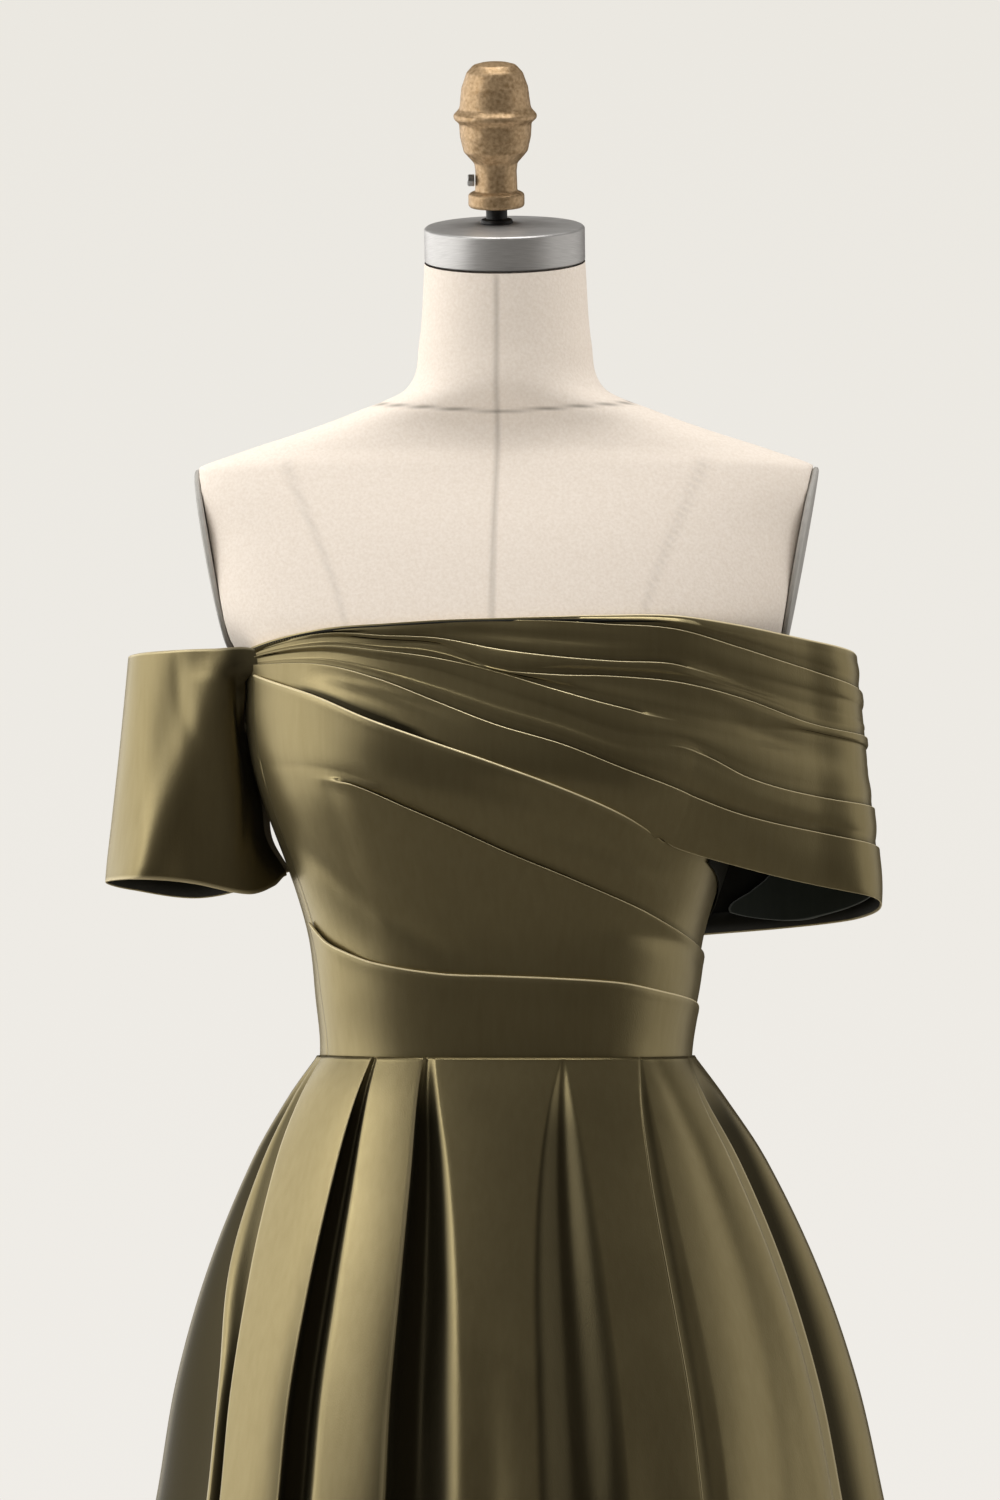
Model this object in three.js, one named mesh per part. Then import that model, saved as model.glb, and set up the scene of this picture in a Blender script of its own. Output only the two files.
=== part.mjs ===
// Off-shoulder satin dress, worn by a limbless dress form on a stand.
// Millimetres, +Z up. The front faces -Y and +X is the wearer's left. The origin is the centre of the
// stand's foot, on the floor. Heights called z in the tables are measured from the waist seam.
import * as THREE from 'three';

// Driving dimensions
const WAIST = 1050;
const WALL = 1.5;
const SEAM = 0.3;
const EASE = 2.5;
const BODY_POWER = 2.5;
const HEM = -1033;
const HIP = -293;
const TORSO_FOOT = -200;
const NECK_FOOT = 442;
const NECK_TOP = 524;
const NECK_TILT = 14;

const material = (color, roughness, metalness) =>
  new THREE.MeshStandardMaterial({ color, roughness, metalness });
const SATIN = material('#7f7449', 0.42, 0);
const LINING = material('#33372f', 0.55, 0);
const LINEN = material('#efe2d4', 0.9, 0);
const GREY_PLATE = material('#9b948b', 0.6, 0);
const BRUSHED = material('#a9a9ab', 0.35, 1);
const BRASS = material('#93703f', 0.5, 1);
const BLACK_STEEL = material('#1d1c1b', 0.5, 0.6);
const ZINC = material('#b5b5b2', 0.4, 1);
const IRON = material('#2b2b2c', 0.6, 0.7);

const dress = new THREE.Group();
export default dress;

// Small helpers
const mix = (a, b, t) => a + (b - a) * t;
const smooth = (from, to, t) => {
  const s = THREE.MathUtils.clamp((t - from) / (to - from), 0, 1);
  return s * s * (3 - 2 * s);
};

// A smooth curve through the values of one column, over the values of another
function track(keys, values) {
  const last = keys.length - 1;
  const slope = (k) => {
    const a = Math.max(k - 1, 0);
    const b = Math.min(k + 1, last);
    return (values[b] - values[a]) / (keys[b] - keys[a]);
  };
  return (key) => {
    const at = THREE.MathUtils.clamp(key, keys[0], keys[last]);
    let k = 0;
    while (k < last - 1 && at > keys[k + 1]) k++;
    const span = keys[k + 1] - keys[k];
    const t = (at - keys[k]) / span;
    const rise = values[k + 1] - values[k];
    const a = slope(k) * span - rise;
    const b = rise - slope(k + 1) * span;
    return mix(values[k], values[k + 1], t) + t * (1 - t) * (a * (1 - t) + b * t);
  };
}

const column = (rows, key, name) => track(rows.map((row) => row[key]), rows.map((row) => row[name]));

// One closed ring of a body, as its point and outward direction at an angle from the front
function ring(deg, half, front, back, power) {
  const turn = THREE.MathUtils.degToRad(deg);
  const sine = Math.sin(turn);
  const cosine = Math.cos(turn);
  const depth = cosine >= 0 ? front : back;
  const reach = ((Math.abs(sine) / half) ** power + (Math.abs(cosine) / depth) ** power) ** (-1 / power);
  const x = reach * sine;
  const y = -reach * cosine;
  const across = (Math.sign(x) * Math.abs(x) ** (power - 1)) / half ** power;
  const along = (Math.sign(y) * Math.abs(y) ** (power - 1)) / depth ** power;
  const size = Math.hypot(across, along);
  return { x, y, nx: across / size, ny: along / size };
}

function addMesh(name, geometry, look) {
  const mesh = new THREE.Mesh(geometry, look);
  mesh.name = name;
  dress.add(mesh);
  return mesh;
}

function facedMesh(name, points, faces, look) {
  const geometry = new THREE.BufferGeometry();
  geometry.setAttribute('position', new THREE.Float32BufferAttribute(points, 3));
  geometry.setIndex(faces);
  return addMesh(name, geometry, look);
}

// A closed cloth wall. place(i, j) gives a point, its outward direction in plan, and how far the wall's
// outer and inner faces lie along it. Columns run from the wearer's right over the front, rows run down.
function wall(name, columns, rows, place, look, closed = false) {
  const points = [];
  for (const face of ['outer', 'inner']) {
    for (let j = 0; j < rows; j++) {
      for (let i = 0; i < columns; i++) {
        const p = place(i, j);
        points.push(p.x + p.nx * p[face], p.y + p.ny * p[face], p.z + WAIST);
      }
    }
  }
  const at = (face, i, j) => face * columns * rows + j * columns + (i % columns);
  const faces = [];
  const quad = (a, b, c, d) => faces.push(a, b, c, a, c, d);
  const spans = closed ? columns : columns - 1;
  const end = rows - 1;
  for (let i = 0; i < spans; i++) {
    for (let j = 0; j < end; j++) {
      quad(at(0, i, j), at(0, i, j + 1), at(0, i + 1, j + 1), at(0, i + 1, j));
      quad(at(1, i, j), at(1, i + 1, j), at(1, i + 1, j + 1), at(1, i, j + 1));
    }
    quad(at(0, i, 0), at(0, i + 1, 0), at(1, i + 1, 0), at(1, i, 0));
    quad(at(0, i, end), at(1, i, end), at(1, i + 1, end), at(0, i + 1, end));
  }
  for (let j = 0; j < end && !closed; j++) {
    quad(at(0, 0, j), at(1, 0, j), at(1, 0, j + 1), at(0, 0, j + 1));
    quad(at(0, spans, j), at(0, spans, j + 1), at(1, spans, j + 1), at(1, spans, j));
  }
  return facedMesh(name, points, faces, look);
}

// Evenly spaced values from one end to the other
const spread = (from, to, count) =>
  Array.from({ length: count }, (_, k) => mix(from, to, k / (count - 1)));

// Half a seam's gap, taken off the first and last column of a panel
function trimmed(point, i, columns) {
  const side = i === 0 ? 1 : i === columns - 1 ? -1 : 0;
  const x = point.x - side * point.ny * SEAM / 2;
  const y = point.y + side * point.nx * SEAM / 2;
  return { ...point, x, y };
}

// The dress form, by height: half width, depth in front and behind, and how far its middle lies forward
const FORM = [
  { z: TORSO_FOOT, half: 160, front: 104, back: 114, lean: 0 },
  { z: -100, half: 146, front: 98, back: 102, lean: 0 },
  { z: -40, half: 127, front: 90, back: 89, lean: 0 },
  { z: 0, half: 118.5, front: 87.5, back: 84, lean: 0 },
  { z: 40, half: 121.5, front: 90.5, back: 85, lean: 0 },
  { z: 80, half: 126.5, front: 96, back: 88, lean: 0 },
  { z: 123, half: 139.5, front: 108, back: 91, lean: 0 },
  { z: 168, half: 156, front: 123, back: 95, lean: 0 },
  { z: 192, half: 163, front: 126, back: 97, lean: 0 },
  { z: 221, half: 168, front: 120, back: 99, lean: 0 },
  { z: 257, half: 173, front: 109, back: 100.5, lean: 0 },
  { z: 290, half: 190, front: 100, back: 102, lean: 0 },
  { z: 340, half: 200, front: 82, back: 97, lean: 0 },
  { z: 386, half: 207, front: 60, back: 78, lean: 0 },
  { z: 399, half: 176, front: 54, back: 72, lean: 0 },
  { z: 412, half: 136, front: 53, back: 68, lean: 0 },
  { z: 425, half: 100, front: 55, back: 64, lean: 2 },
  { z: 440, half: 66, front: 58, back: 60, lean: 4 },
  { z: 470, half: 57, front: 54, back: 56, lean: 8 },
  { z: NECK_TOP, half: 53, front: 53, back: 53, lean: 12 },
];
const formHalf = column(FORM, 'z', 'half');
const formFront = column(FORM, 'z', 'front');
const formBack = column(FORM, 'z', 'back');
const formLean = column(FORM, 'z', 'lean');

// The inside of the cloth: the form's ring with the ease round it
const bodyRing = (deg, z) =>
  ring(deg, formHalf(z) + EASE, formFront(z) + EASE, formBack(z) + EASE, BODY_POWER);

// Armhole plates: the tilted plane that the form's sides are cut to
const PLATE = { z: 329, x: 191.5, slope: 0.185, high: 61, deep: 44, thick: 4, y: 4, from: 240, to: 392 };
const plateX = (z) => PLATE.x + (z - PLATE.z) * PLATE.slope;

function addForm() {
  const columns = 36;
  const heights = [
    TORSO_FOOT, -150, -100, -50, 0, 45, 90, 130, 165, 188, 206, 221, 237, 251, 264, 280,
    300, 330, 360, 384, 393, 402, 411, 421, 431, NECK_FOOT, 460, 490, NECK_TOP,
  ];
  const points = [];
  const tilt = Math.tan(THREE.MathUtils.degToRad(NECK_TILT));
  for (const z of heights) {
    const power = BODY_POWER - 0.5 * smooth(400, 450, z);
    const limit = z > PLATE.from && z < PLATE.to ? plateX(z) : formHalf(z);
    for (let i = 0; i < columns; i++) {
      const p = ring((360 * i) / columns, formHalf(z), formFront(z), formBack(z), power);
      const x = THREE.MathUtils.clamp(p.x, -limit, limit);
      points.push(x, p.y - formLean(z), z + WAIST + p.y * tilt * smooth(NECK_FOOT, NECK_TOP, z));
    }
  }
  const foot = points.length / 3;
  points.push(0, 0, heights[0] + WAIST);
  points.push(0, -formLean(heights.at(-1)), heights.at(-1) + WAIST);
  const faces = [];
  for (let i = 0; i < columns; i++) {
    const next = (i + 1) % columns;
    faces.push(foot, next, i);
    const top = (heights.length - 1) * columns;
    faces.push(foot + 1, top + i, top + next);
    for (let j = 0; j < heights.length - 1; j++) {
      const low = j * columns;
      const high = low + columns;
      faces.push(low + i, low + next, high + next, low + i, high + next, high + i);
    }
  }
  facedMesh('form_torso', points, faces, LINEN);
}
addForm();

// Armhole plates, parallel to the cut sides
function addPlate(name, side) {
  const outline = new THREE.Shape();
  outline.absellipse(0, 0, PLATE.deep, PLATE.high, 0, 2 * Math.PI);
  const geometry = new THREE.ExtrudeGeometry(outline, {
    depth: PLATE.thick - 2,
    bevelThickness: 1,
    bevelSize: 1.5,
    bevelOffset: -1.5,
    bevelSegments: 1,
    curveSegments: 18,
  });
  geometry.translate(0, 0, 1);
  const plate = addMesh(name, geometry, GREY_PLATE);
  const lean = Math.atan(PLATE.slope);
  const seat = SEAM / Math.cos(lean);
  plate.rotation.set(Math.PI / 2, side * Math.PI / 2, 0, 'XYZ');
  const turn = new THREE.Group();
  turn.rotation.y = side * lean;
  turn.position.set(side * (PLATE.x + seat), PLATE.y, PLATE.z + WAIST);
  turn.add(plate);
  dress.add(turn);
}
addPlate('form_plate_left', 1);
addPlate('form_plate_right', -1);

// A turned piece, from a profile of radius and height
const turned = (profile, segments) =>
  new THREE.LatheGeometry(profile.map(([r, h]) => new THREE.Vector2(r, h)), segments).rotateX(Math.PI / 2);

// Neck cap, stub, finial and its bolt, stacked along the tilted neck
const CAP = { radius: 53, high: 23, edge: 1.2 };
const STUB = { radius: 7, high: 10 };
const FINIAL_HEIGHT = 95;
function addNeckTop() {
  const neck = new THREE.Group();
  neck.rotation.x = THREE.MathUtils.degToRad(NECK_TILT);
  neck.position.set(0, -formLean(NECK_TOP), WAIST + NECK_TOP + 2 * SEAM);
  dress.add(neck);
  const cap = addMesh('neck_cap', turned([
    [0, 0], [CAP.radius, 0], [CAP.radius, CAP.high - CAP.edge],
    [CAP.radius - CAP.edge, CAP.high], [CAP.radius * 0.5, CAP.high + 1.5], [0, CAP.high + 2],
  ], 40), BRUSHED);
  neck.add(cap);
  const stub = addMesh('cap_stub', turned([
    [0, 0], [STUB.radius + 4, 0], [STUB.radius + 3, 2.5], [STUB.radius, 3],
    [STUB.radius, STUB.high], [0, STUB.high],
  ], 16), BLACK_STEEL);
  stub.position.set(-5, 0, CAP.high + 2 + SEAM);
  neck.add(stub);
  const top = new THREE.Group();
  top.position.set(-5, 0, CAP.high + 2 + SEAM + STUB.high + SEAM);
  neck.add(top);
  top.add(addMesh('finial', turned([
    [0, 0], [17, 0], [18.5, 1.5], [18.5, 8.5], [17, 10], [14, 11], [13.6, 24], [14.3, 29.5], [21, 37],
    [23.4, 47], [23.7, 55], [24.6, 56.5], [27.4, 59], [27.4, 61.5], [25, 64], [23.5, 66], [22, 79],
    [18.5, 89], [14, 94], [8, 95.6], [0, FINIAL_HEIGHT + 1],
  ], 20), BRASS));
  const bolt = addMesh('finial_bolt', turned([[0, 0], [4.2, 0], [4.2, 3.6], [3.4, 4.4], [0, 4.4]], 6), ZINC);
  bolt.rotation.set(0, -Math.PI / 2, 0);
  bolt.position.set(-14.3, -4, 18.5);
  top.add(bolt);
}
addNeckTop();

// Stand: a pole from a round weighted foot up to the form
const POLE_RADIUS = 16;
const FOOT = { radius: 200, edge: 10, high: 18, boss: 30, bossHigh: 46 };
function addStand() {
  addMesh('stand_foot', turned([
    [0, 0], [FOOT.radius, 0], [FOOT.radius, FOOT.edge], [FOOT.radius - 8, FOOT.high - 2],
    [FOOT.boss + 14, FOOT.high + 4], [FOOT.boss, FOOT.high + 12], [FOOT.boss - 4, FOOT.bossHigh],
    [0, FOOT.bossHigh],
  ], 36), IRON);
  const top = WAIST + TORSO_FOOT - SEAM;
  const bottom = FOOT.bossHigh + SEAM;
  const pole = turned([[0, bottom], [POLE_RADIUS, bottom], [POLE_RADIUS, top], [0, top]], 20);
  addMesh('stand_pole', pole, IRON);
}
addStand();

// The drape over the bust. Each row is a folded edge, from the neckline down, with its height at each
// sweep. A sweep is the angle round the body up to LEAVES, and from there the way round the left sleeve.
const LEAVES = 52;
const SWEEPS = [-72, -51, -35, -19, 0, 19, 35, 51, 62, 74, 92, 112, 130];
const DRAPE = [
  {
    name: 'neckline', rise: 0, from: -80,
    z: [266, 278, 281, 283, 284, 285, 286, 286, 281, 273, 263, 254, 247],
  },
  {
    name: 'first', rise: 1.2, from: 4,
    z: [264.4, 276.6, 279.6, 281.4, 282.6, 282, 280, 277, 266, 253, 238, 232, 228],
  },
  {
    name: 'second', rise: 1.5, from: -52,
    z: [263, 274.8, 273, 271, 264, 259, 256, 254, 244, 234, 223, 219, 216],
  },
  {
    name: 'third', rise: 1.3, from: 0,
    z: [261.8, 270.8, 268, 264.5, 251, 247, 246, 242, 232, 217, 209, 206, 203],
  },
  {
    name: 'fourth', rise: 1.6, from: -70,
    z: [260.4, 267, 263, 258, 249, 237, 226, 217, 210, 207, 197, 195, 193],
  },
  {
    name: 'fifth', rise: 1.3, from: 48,
    z: [258.4, 261, 254, 245, 232, 219, 205, 200, 181, 170, 163, 160, 158],
  },
  {
    name: 'sixth', rise: 1.6, from: -74,
    z: [256, 255, 245, 231, 215, 202, 186, 171, 157, 147, 137, 134, 132],
  },
  {
    name: 'lower edge', rise: 0, from: -80,
    z: [252, 236, 219, 205, 190, 174, 158, 138, 125, 113, 101, 88, 79],
  },
];
const drapeEdges = DRAPE.map((row) => track(SWEEPS, row.z));
const lowerEdge = drapeEdges.at(-1);

// Plan of the left sleeve's outer wall, at its top and at its cuff. The first two rows lie on the
// straight stretch, as a share of the way from the body to the corner.
const LEFT_CORNER = { x: 225, y: -38, cuffX: 240, cuffY: -32 };
const LEFT_ROUND = [
  { x: 228.5, y: 8, cuffX: 245, cuffY: 6 },
  { x: 214, y: 46, cuffX: 227, cuffY: 48 },
  { x: 176, y: 68, cuffX: 176, cuffY: 74 },
];
const SLEEVE_TOP = 265;
const CUFF = 105;
const BACK_JOIN = 118;
const cuffShare = (z) => (SLEEVE_TOP - z) / (SLEEVE_TOP - CUFF);
const planPoint = (row, z) =>
  new THREE.Vector3(mix(row.x, row.cuffX, cuffShare(z)), mix(row.y, row.cuffY, cuffShare(z)), 0);
const ringPoint = (deg, z, out) => {
  const p = bodyRing(deg, z);
  return new THREE.Vector3(p.x + p.nx * out, p.y + p.ny * out, 0);
};

// A point of a plan curve with its outward direction
function onCurve(curve, t) {
  const p = curve.getPoint(t);
  const along = curve.getTangent(t);
  return { x: p.x, y: p.y, nx: along.y, ny: -along.x };
}

function drapePath(sweep, z) {
  if (sweep <= LEAVES) return bodyRing(sweep, z);
  const leave = ringPoint(LEAVES, z, 0);
  const corner = planPoint(LEFT_CORNER, z);
  const points = [
    ringPoint(LEAVES - 12, z, 0),
    leave,
    leave.clone().lerp(corner, 0.36),
    leave.clone().lerp(corner, 0.72),
    corner,
    ...LEFT_ROUND.map((row) => planPoint(row, z)),
    ringPoint(BACK_JOIN, z, WALL + 0.6),
  ];
  const stops = points.length - 1;
  const share = (sweep - LEAVES) / (SWEEPS.at(-1) - LEAVES);
  return onCurve(new THREE.CatmullRomCurve3(points), mix(1, stops, share) / stops);
}

const leftSweeps = spread(LEAVES, SWEEPS.at(-1), 19);
function addDrape() {
  const sweeps = [...spread(-72, LEAVES, 21), ...leftSweeps.slice(1)];
  const lines = [];
  for (let k = 0; k < DRAPE.length; k++) {
    if (DRAPE[k].rise > 0) lines.push({ k, above: true });
    lines.push({ k, above: false });
  }
  const LEDGE = 1.2;
  const SETTLE = 0.2;
  const height = (line, sweep) => {
    const z = drapeEdges[line.k](sweep);
    if (!line.above) return line.k === DRAPE.length - 1 ? z + SEAM / 2 : z;
    return z + Math.min(LEDGE, 0.4 * (drapeEdges[line.k - 1](sweep) - z));
  };
  const relief = (k, sweep) => {
    if (k <= 0) return 0;
    const here = DRAPE[k].rise * smooth(DRAPE[k].from, DRAPE[k].from + 14, sweep);
    return here + SETTLE * relief(k - 1, sweep);
  };
  const columns = sweeps.length;
  wall('drape_front', columns, lines.length, (i, j) => {
    const line = lines[j];
    const start = i === 0 ? -3 * (j / (lines.length - 1)) + 1.5 : 0;
    const sweep = sweeps[i];
    const z = height(line, sweep);
    const out = line.above || line.k === DRAPE.length - 1
      ? SETTLE * relief(line.k - 1, sweep)
      : relief(line.k, sweep);
    return { ...trimmed(drapePath(sweep + start, z), i, columns), z, inner: 0, outer: 1.3 + out };
  }, SATIN);
}
addDrape();

// Bodice edges, as heights over the angle round the body
const ARMHOLE_LEFT = track([50, 58, 64, 72, 80, 90], [139, 131, 150, 194, 206, 210]);
const frontTop = (deg) => (deg <= 50 ? lowerEdge(deg) : ARMHOLE_LEFT(deg)) - SEAM / 2;
const TUCK = track([-69, -43, -23, 0, 23, 45, 60, 75, 90], [186, 180, 159, 136, 117, 98, 84, 73, 66]);
const BAND_EDGE = track(
  [-69, -62, -56, -44, -22, 0, 22, 44, 60, 75, 90],
  [88, 77, 71, 62, 55, 53.5, 52, 49, 43, 38, 33],
);
const SIDE_SEAM_RIGHT = -69;
const BACK_SEAM_RIGHT = -100;
const SIDE_SEAM_LEFT = 90;

function bodicePlace(degs, heights) {
  const columns = degs.length;
  return (i, j) => {
    const deg = degs[i];
    const row = heights[j](deg);
    const p = trimmed(bodyRing(deg, row.z), i, columns);
    const flare = row.flare ?? 0;
    return { ...p, z: row.z, inner: flare, outer: WALL + flare + (row.relief ?? 0) };
  };
}

// The front's upper edge lies over the drape and gapes a little towards the wearer's right
const edgeFlare = (deg) =>
  1.6 * (1 - smooth(38, 50, deg)) + 2.4 * smooth(-66, -50, deg) * (1 - smooth(-35, -18, deg));
const tuckRise = (deg) => 1.7 * smooth(-44, -34, deg);
const bodiceFrontRows = [
  (deg) => ({ z: frontTop(deg), flare: edgeFlare(deg) }),
  (deg) => ({ z: frontTop(deg) - 3, flare: edgeFlare(deg) * 0.8 }),
  (deg) => ({ z: mix(frontTop(deg), TUCK(deg), 0.28), flare: edgeFlare(deg) * 0.25 }),
  (deg) => ({ z: mix(frontTop(deg), TUCK(deg), 0.65) }),
  (deg) => ({ z: TUCK(deg) + 1.4 }),
  (deg) => ({ z: TUCK(deg), relief: tuckRise(deg) }),
  (deg) => ({ z: mix(TUCK(deg), BAND_EDGE(deg), 0.25), relief: tuckRise(deg) * 0.5 }),
  (deg) => ({ z: mix(TUCK(deg), BAND_EDGE(deg), 0.62), relief: tuckRise(deg) * 0.15 }),
  (deg) => ({ z: BAND_EDGE(deg) + SEAM / 2 }),
];
const frontDegs = spread(SIDE_SEAM_RIGHT, SIDE_SEAM_LEFT, 30);
wall('bodice_front', frontDegs.length, bodiceFrontRows.length,
  bodicePlace(frontDegs, bodiceFrontRows), SATIN);

const BAND_ROLL = 1.8;
const bandRows = [
  (deg) => ({ z: BAND_EDGE(deg) - SEAM / 2, flare: BAND_ROLL }),
  (deg) => ({ z: BAND_EDGE(deg) - 4, flare: BAND_ROLL * 0.8 }),
  (deg) => ({ z: BAND_EDGE(deg) * 0.55, flare: BAND_ROLL * 0.3 }),
  () => ({ z: SEAM / 2 }),
];
wall('waist_band', frontDegs.length, bandRows.length, bodicePlace(frontDegs, bandRows), SATIN);

const plainRows = (top, count) =>
  spread(0, 1, count).map((share) => (deg) => ({ z: mix(top(deg), SEAM / 2, share) }));

const RIGHT_ARMHOLE = track(
  [-100, -95, -90, -85, -80, -76, -72, -69],
  [226, 219, 216, 231, 244, 250.5, 251, 249.3],
);
const DRAPE_START = -76;
const rightSideTop = (deg) =>
  deg > DRAPE_START ? Math.min(RIGHT_ARMHOLE(deg), lowerEdge(deg) - SEAM / 2) : RIGHT_ARMHOLE(deg);
const sideDegs = spread(BACK_SEAM_RIGHT, SIDE_SEAM_RIGHT, 10);
wall('side_panel_right', sideDegs.length, 12, bodicePlace(sideDegs, plainRows(rightSideTop, 12)), SATIN);

const BACK_TOP = track([90, 100, 118, 140, 180], [210, 220, 238, 245, 246]);
const backDegs = spread(SIDE_SEAM_LEFT, 180, 12);
wall('bodice_back_left', backDegs.length, 9, bodicePlace(backDegs, plainRows(BACK_TOP, 9)), SATIN);
const RIGHT_BACK_TOP = track([-180, -140, -118, -100], [246, 245, 240, 226]);
const rightBackDegs = spread(-180, BACK_SEAM_RIGHT, 13);
const rightBackPlace = bodicePlace(rightBackDegs, plainRows(RIGHT_BACK_TOP, 9));
wall('bodice_back_right', rightBackDegs.length, 9, rightBackPlace, SATIN);

// The right sleeve: a plain tube from the armhole, one plan curve at each height. Its inner wall
// follows the body's side, just clear of it.
const SLEEVE_CLEAR = WALL + 2.6;
const RIGHT_SLEEVE = [
  { x: -182, y: -55, cuffX: -168, cuffY: -30 },
  { x: -212, y: -47, cuffX: -204, cuffY: -43 },
  { x: -239, y: -29, cuffX: -236, cuffY: -50 },
  { x: -249, y: 0, cuffX: -263, cuffY: -14 },
  { x: -238, y: 34, cuffX: -252, cuffY: 32 },
  { x: -204, y: 52, cuffX: -204, cuffY: 50 },
];
const RIGHT_JOINS = { front: -74, frontLow: -87, back: -116, backLow: -98 };
const INNER_SHARE = 0.3;
const RIGHT_TOP = track(
  [0, 0.06, 0.12, 0.2, 0.26, 0.3, 0.42, 0.62, 0.85, 1],
  [242, 226, 220, 225, 246, 265, 267, 265, 260, 242],
);
const RIGHT_CUFF = track(
  [0, 0.15, 0.3, 0.4, 0.5, 0.6, 0.7, 0.8, 0.9, 1],
  [108, 116, 119, 106.5, 113.5, 116, 114.5, 110, 104.5, 106],
);

// Share t runs along the body from the back join to the front one, then round the outside
function rightSleevePoint(t, z) {
  const high = smooth(200, 252, z);
  const front = mix(RIGHT_JOINS.frontLow, RIGHT_JOINS.front, high);
  const back = mix(RIGHT_JOINS.backLow, RIGHT_JOINS.back, high);
  if (t > 0 && t < INNER_SHARE) {
    const deg = mix(back, front, t / INNER_SHARE);
    const p = bodyRing(deg, z);
    const x = p.x + p.nx * SLEEVE_CLEAR;
    const y = p.y + p.ny * SLEEVE_CLEAR;
    return { x, y, nx: -p.nx, ny: -p.ny };
  }
  const curve = new THREE.CatmullRomCurve3([
    ringPoint(front, z, SLEEVE_CLEAR),
    ...RIGHT_SLEEVE.map((row) => planPoint(row, z)),
    ringPoint(back, z, SLEEVE_CLEAR),
  ]);
  const p = onCurve(curve, t === 0 ? 1 : (t - INNER_SHARE) / (1 - INNER_SHARE));
  return { ...p, nx: -p.nx, ny: -p.ny };
}

function addRightSleeve() {
  const shares = [...spread(0, INNER_SHARE, 15), ...spread(INNER_SHARE, 1, 32).slice(1, -1)].reverse();
  const rows = 8;
  wall('sleeve_right', shares.length, rows, (i, j) => {
    const t = shares[i];
    const z = mix(RIGHT_TOP(t), RIGHT_CUFF(t), j / (rows - 1));
    return { ...rightSleevePoint(t, z), z, inner: 0, outer: WALL };
  }, SATIN, true);
}
addRightSleeve();

// The left sleeve's inner wall, under the drape and against the body's side
const UNDER_CLEAR = WALL + 1.2;
const UNDER_TOP = track([66, 80, 90, 112], [160, 204, 212, 228]);
const UNDER_FOOT = track([66, 90, 112], [127, 104, 83]);
const underDegs = spread(67, 112, 11);
wall('sleeve_left_under', underDegs.length, 6, (i, j) => {
  const deg = underDegs[i];
  const z = mix(UNDER_TOP(deg), UNDER_FOOT(deg), j / 5);
  return { ...bodyRing(deg, z), z, inner: UNDER_CLEAR, outer: UNDER_CLEAR + 1.2 };
}, SATIN);

// The lining that shows inside the left sleeve, on the inner face of its back wall
const LINED = { gap: 0.9, thick: 1, from: 86, to: 127, top: 200, facing: 12 };
const liningSweeps = leftSweeps.filter((sweep) => sweep > LINED.from && sweep < LINED.to);
wall('sleeve_left_lining', liningSweeps.length, 5, (i, j) => {
  const sweep = liningSweeps[i];
  const z = mix(LINED.top, lowerEdge(sweep) + LINED.facing, j / 4);
  return { ...drapePath(sweep, z), z, inner: -LINED.gap - LINED.thick, outer: -LINED.gap };
}, LINING);

// Skirt rings by height: x of the middle, as the skirt swings a little to the wearer's left, half width,
// depth in front and behind, and how square the ring is
const SKIRT = [
  { z: HEM, middle: 14, half: 385, front: 325, back: 352, power: 2 },
  { z: -640, middle: 12, half: 312, front: 258, back: 278, power: 2 },
  { z: HIP, middle: 9, half: 240, front: 188, back: 202, power: 2 },
  { z: -214, middle: 6.8, half: 224.5, front: 168, back: 178, power: 2 },
  { z: -140, middle: 4.6, half: 201.5, front: 146, back: 152, power: 2 },
  { z: -68, middle: 2.2, half: 169.5, front: 121, back: 122, power: 2.1 },
  { z: -26, middle: 0.4, half: 143.5, front: 105, back: 103, power: 2.3 },
  { z: 0, middle: 0, half: 124.5, front: 93.5, back: 90.5, power: 2.5 },
];
const skirtMiddle = column(SKIRT, 'z', 'middle');
const skirtHalf = column(SKIRT, 'z', 'half');
const skirtFront = column(SKIRT, 'z', 'front');
const skirtBack = column(SKIRT, 'z', 'back');
const skirtPower = column(SKIRT, 'z', 'power');

// Pleats: the angle of each folded edge at the waist and from the hip down, how fast it gets there, how
// wide its valley is, how deep at the waist, hip and hem, and the side the valley lies on
const PLEATS = [
  { waist: -75, hip: -56, settle: 150, slim: 3, wide: 17, deep: [1, 14, 38], lap: -1, panel: 2 },
  { waist: -70, hip: -50, settle: 110, slim: 1.5, wide: 4.5, deep: [1, 10, 30], lap: -1, panel: 0 },
  { waist: -37, hip: -38, settle: 60, slim: 3, wide: 7.5, deep: [2, 18, 44], lap: 1, panel: 2 },
  { waist: -18, hip: -19, settle: 110, slim: 4, wide: 14, deep: [2, 22, 52], lap: 1, panel: 1 },
  { waist: 14, hip: 5, settle: 60, slim: 2, wide: 14.5, deep: [0, 13, 42], lap: 1, panel: 2 },
  { waist: 41, hip: 32, settle: 60, slim: 1.5, wide: 4, deep: [2, 6, 26], lap: -1, panel: 1 },
  { waist: 77, hip: 63.5, settle: 20, slim: 3, wide: 21, deep: [1.5, 24, 48], lap: 1, panel: 4 },
  { waist: 112, hip: 106, settle: 60, slim: 3, wide: 12, deep: [2, 18, 45], lap: 1, panel: 2 },
  { waist: 134, hip: 128, settle: 60, slim: 3, wide: 10, deep: [2, 16, 40], lap: 1, panel: 1 },
  { waist: 155, hip: 150, settle: 60, slim: 4, wide: 13, deep: [2, 20, 50], lap: 1, panel: 1 },
  { waist: 205, hip: 209, settle: 60, slim: 4, wide: 12, deep: [2, 19, 48], lap: -1, panel: 2 },
  { waist: 227, hip: 233, settle: 60, slim: 3, wide: 11, deep: [2, 17, 42], lap: -1, panel: 1 },
  { waist: 249, hip: 256, settle: 60, slim: 3, wide: 12, deep: [1.5, 18, 44], lap: -1, panel: 1 },
];
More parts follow.
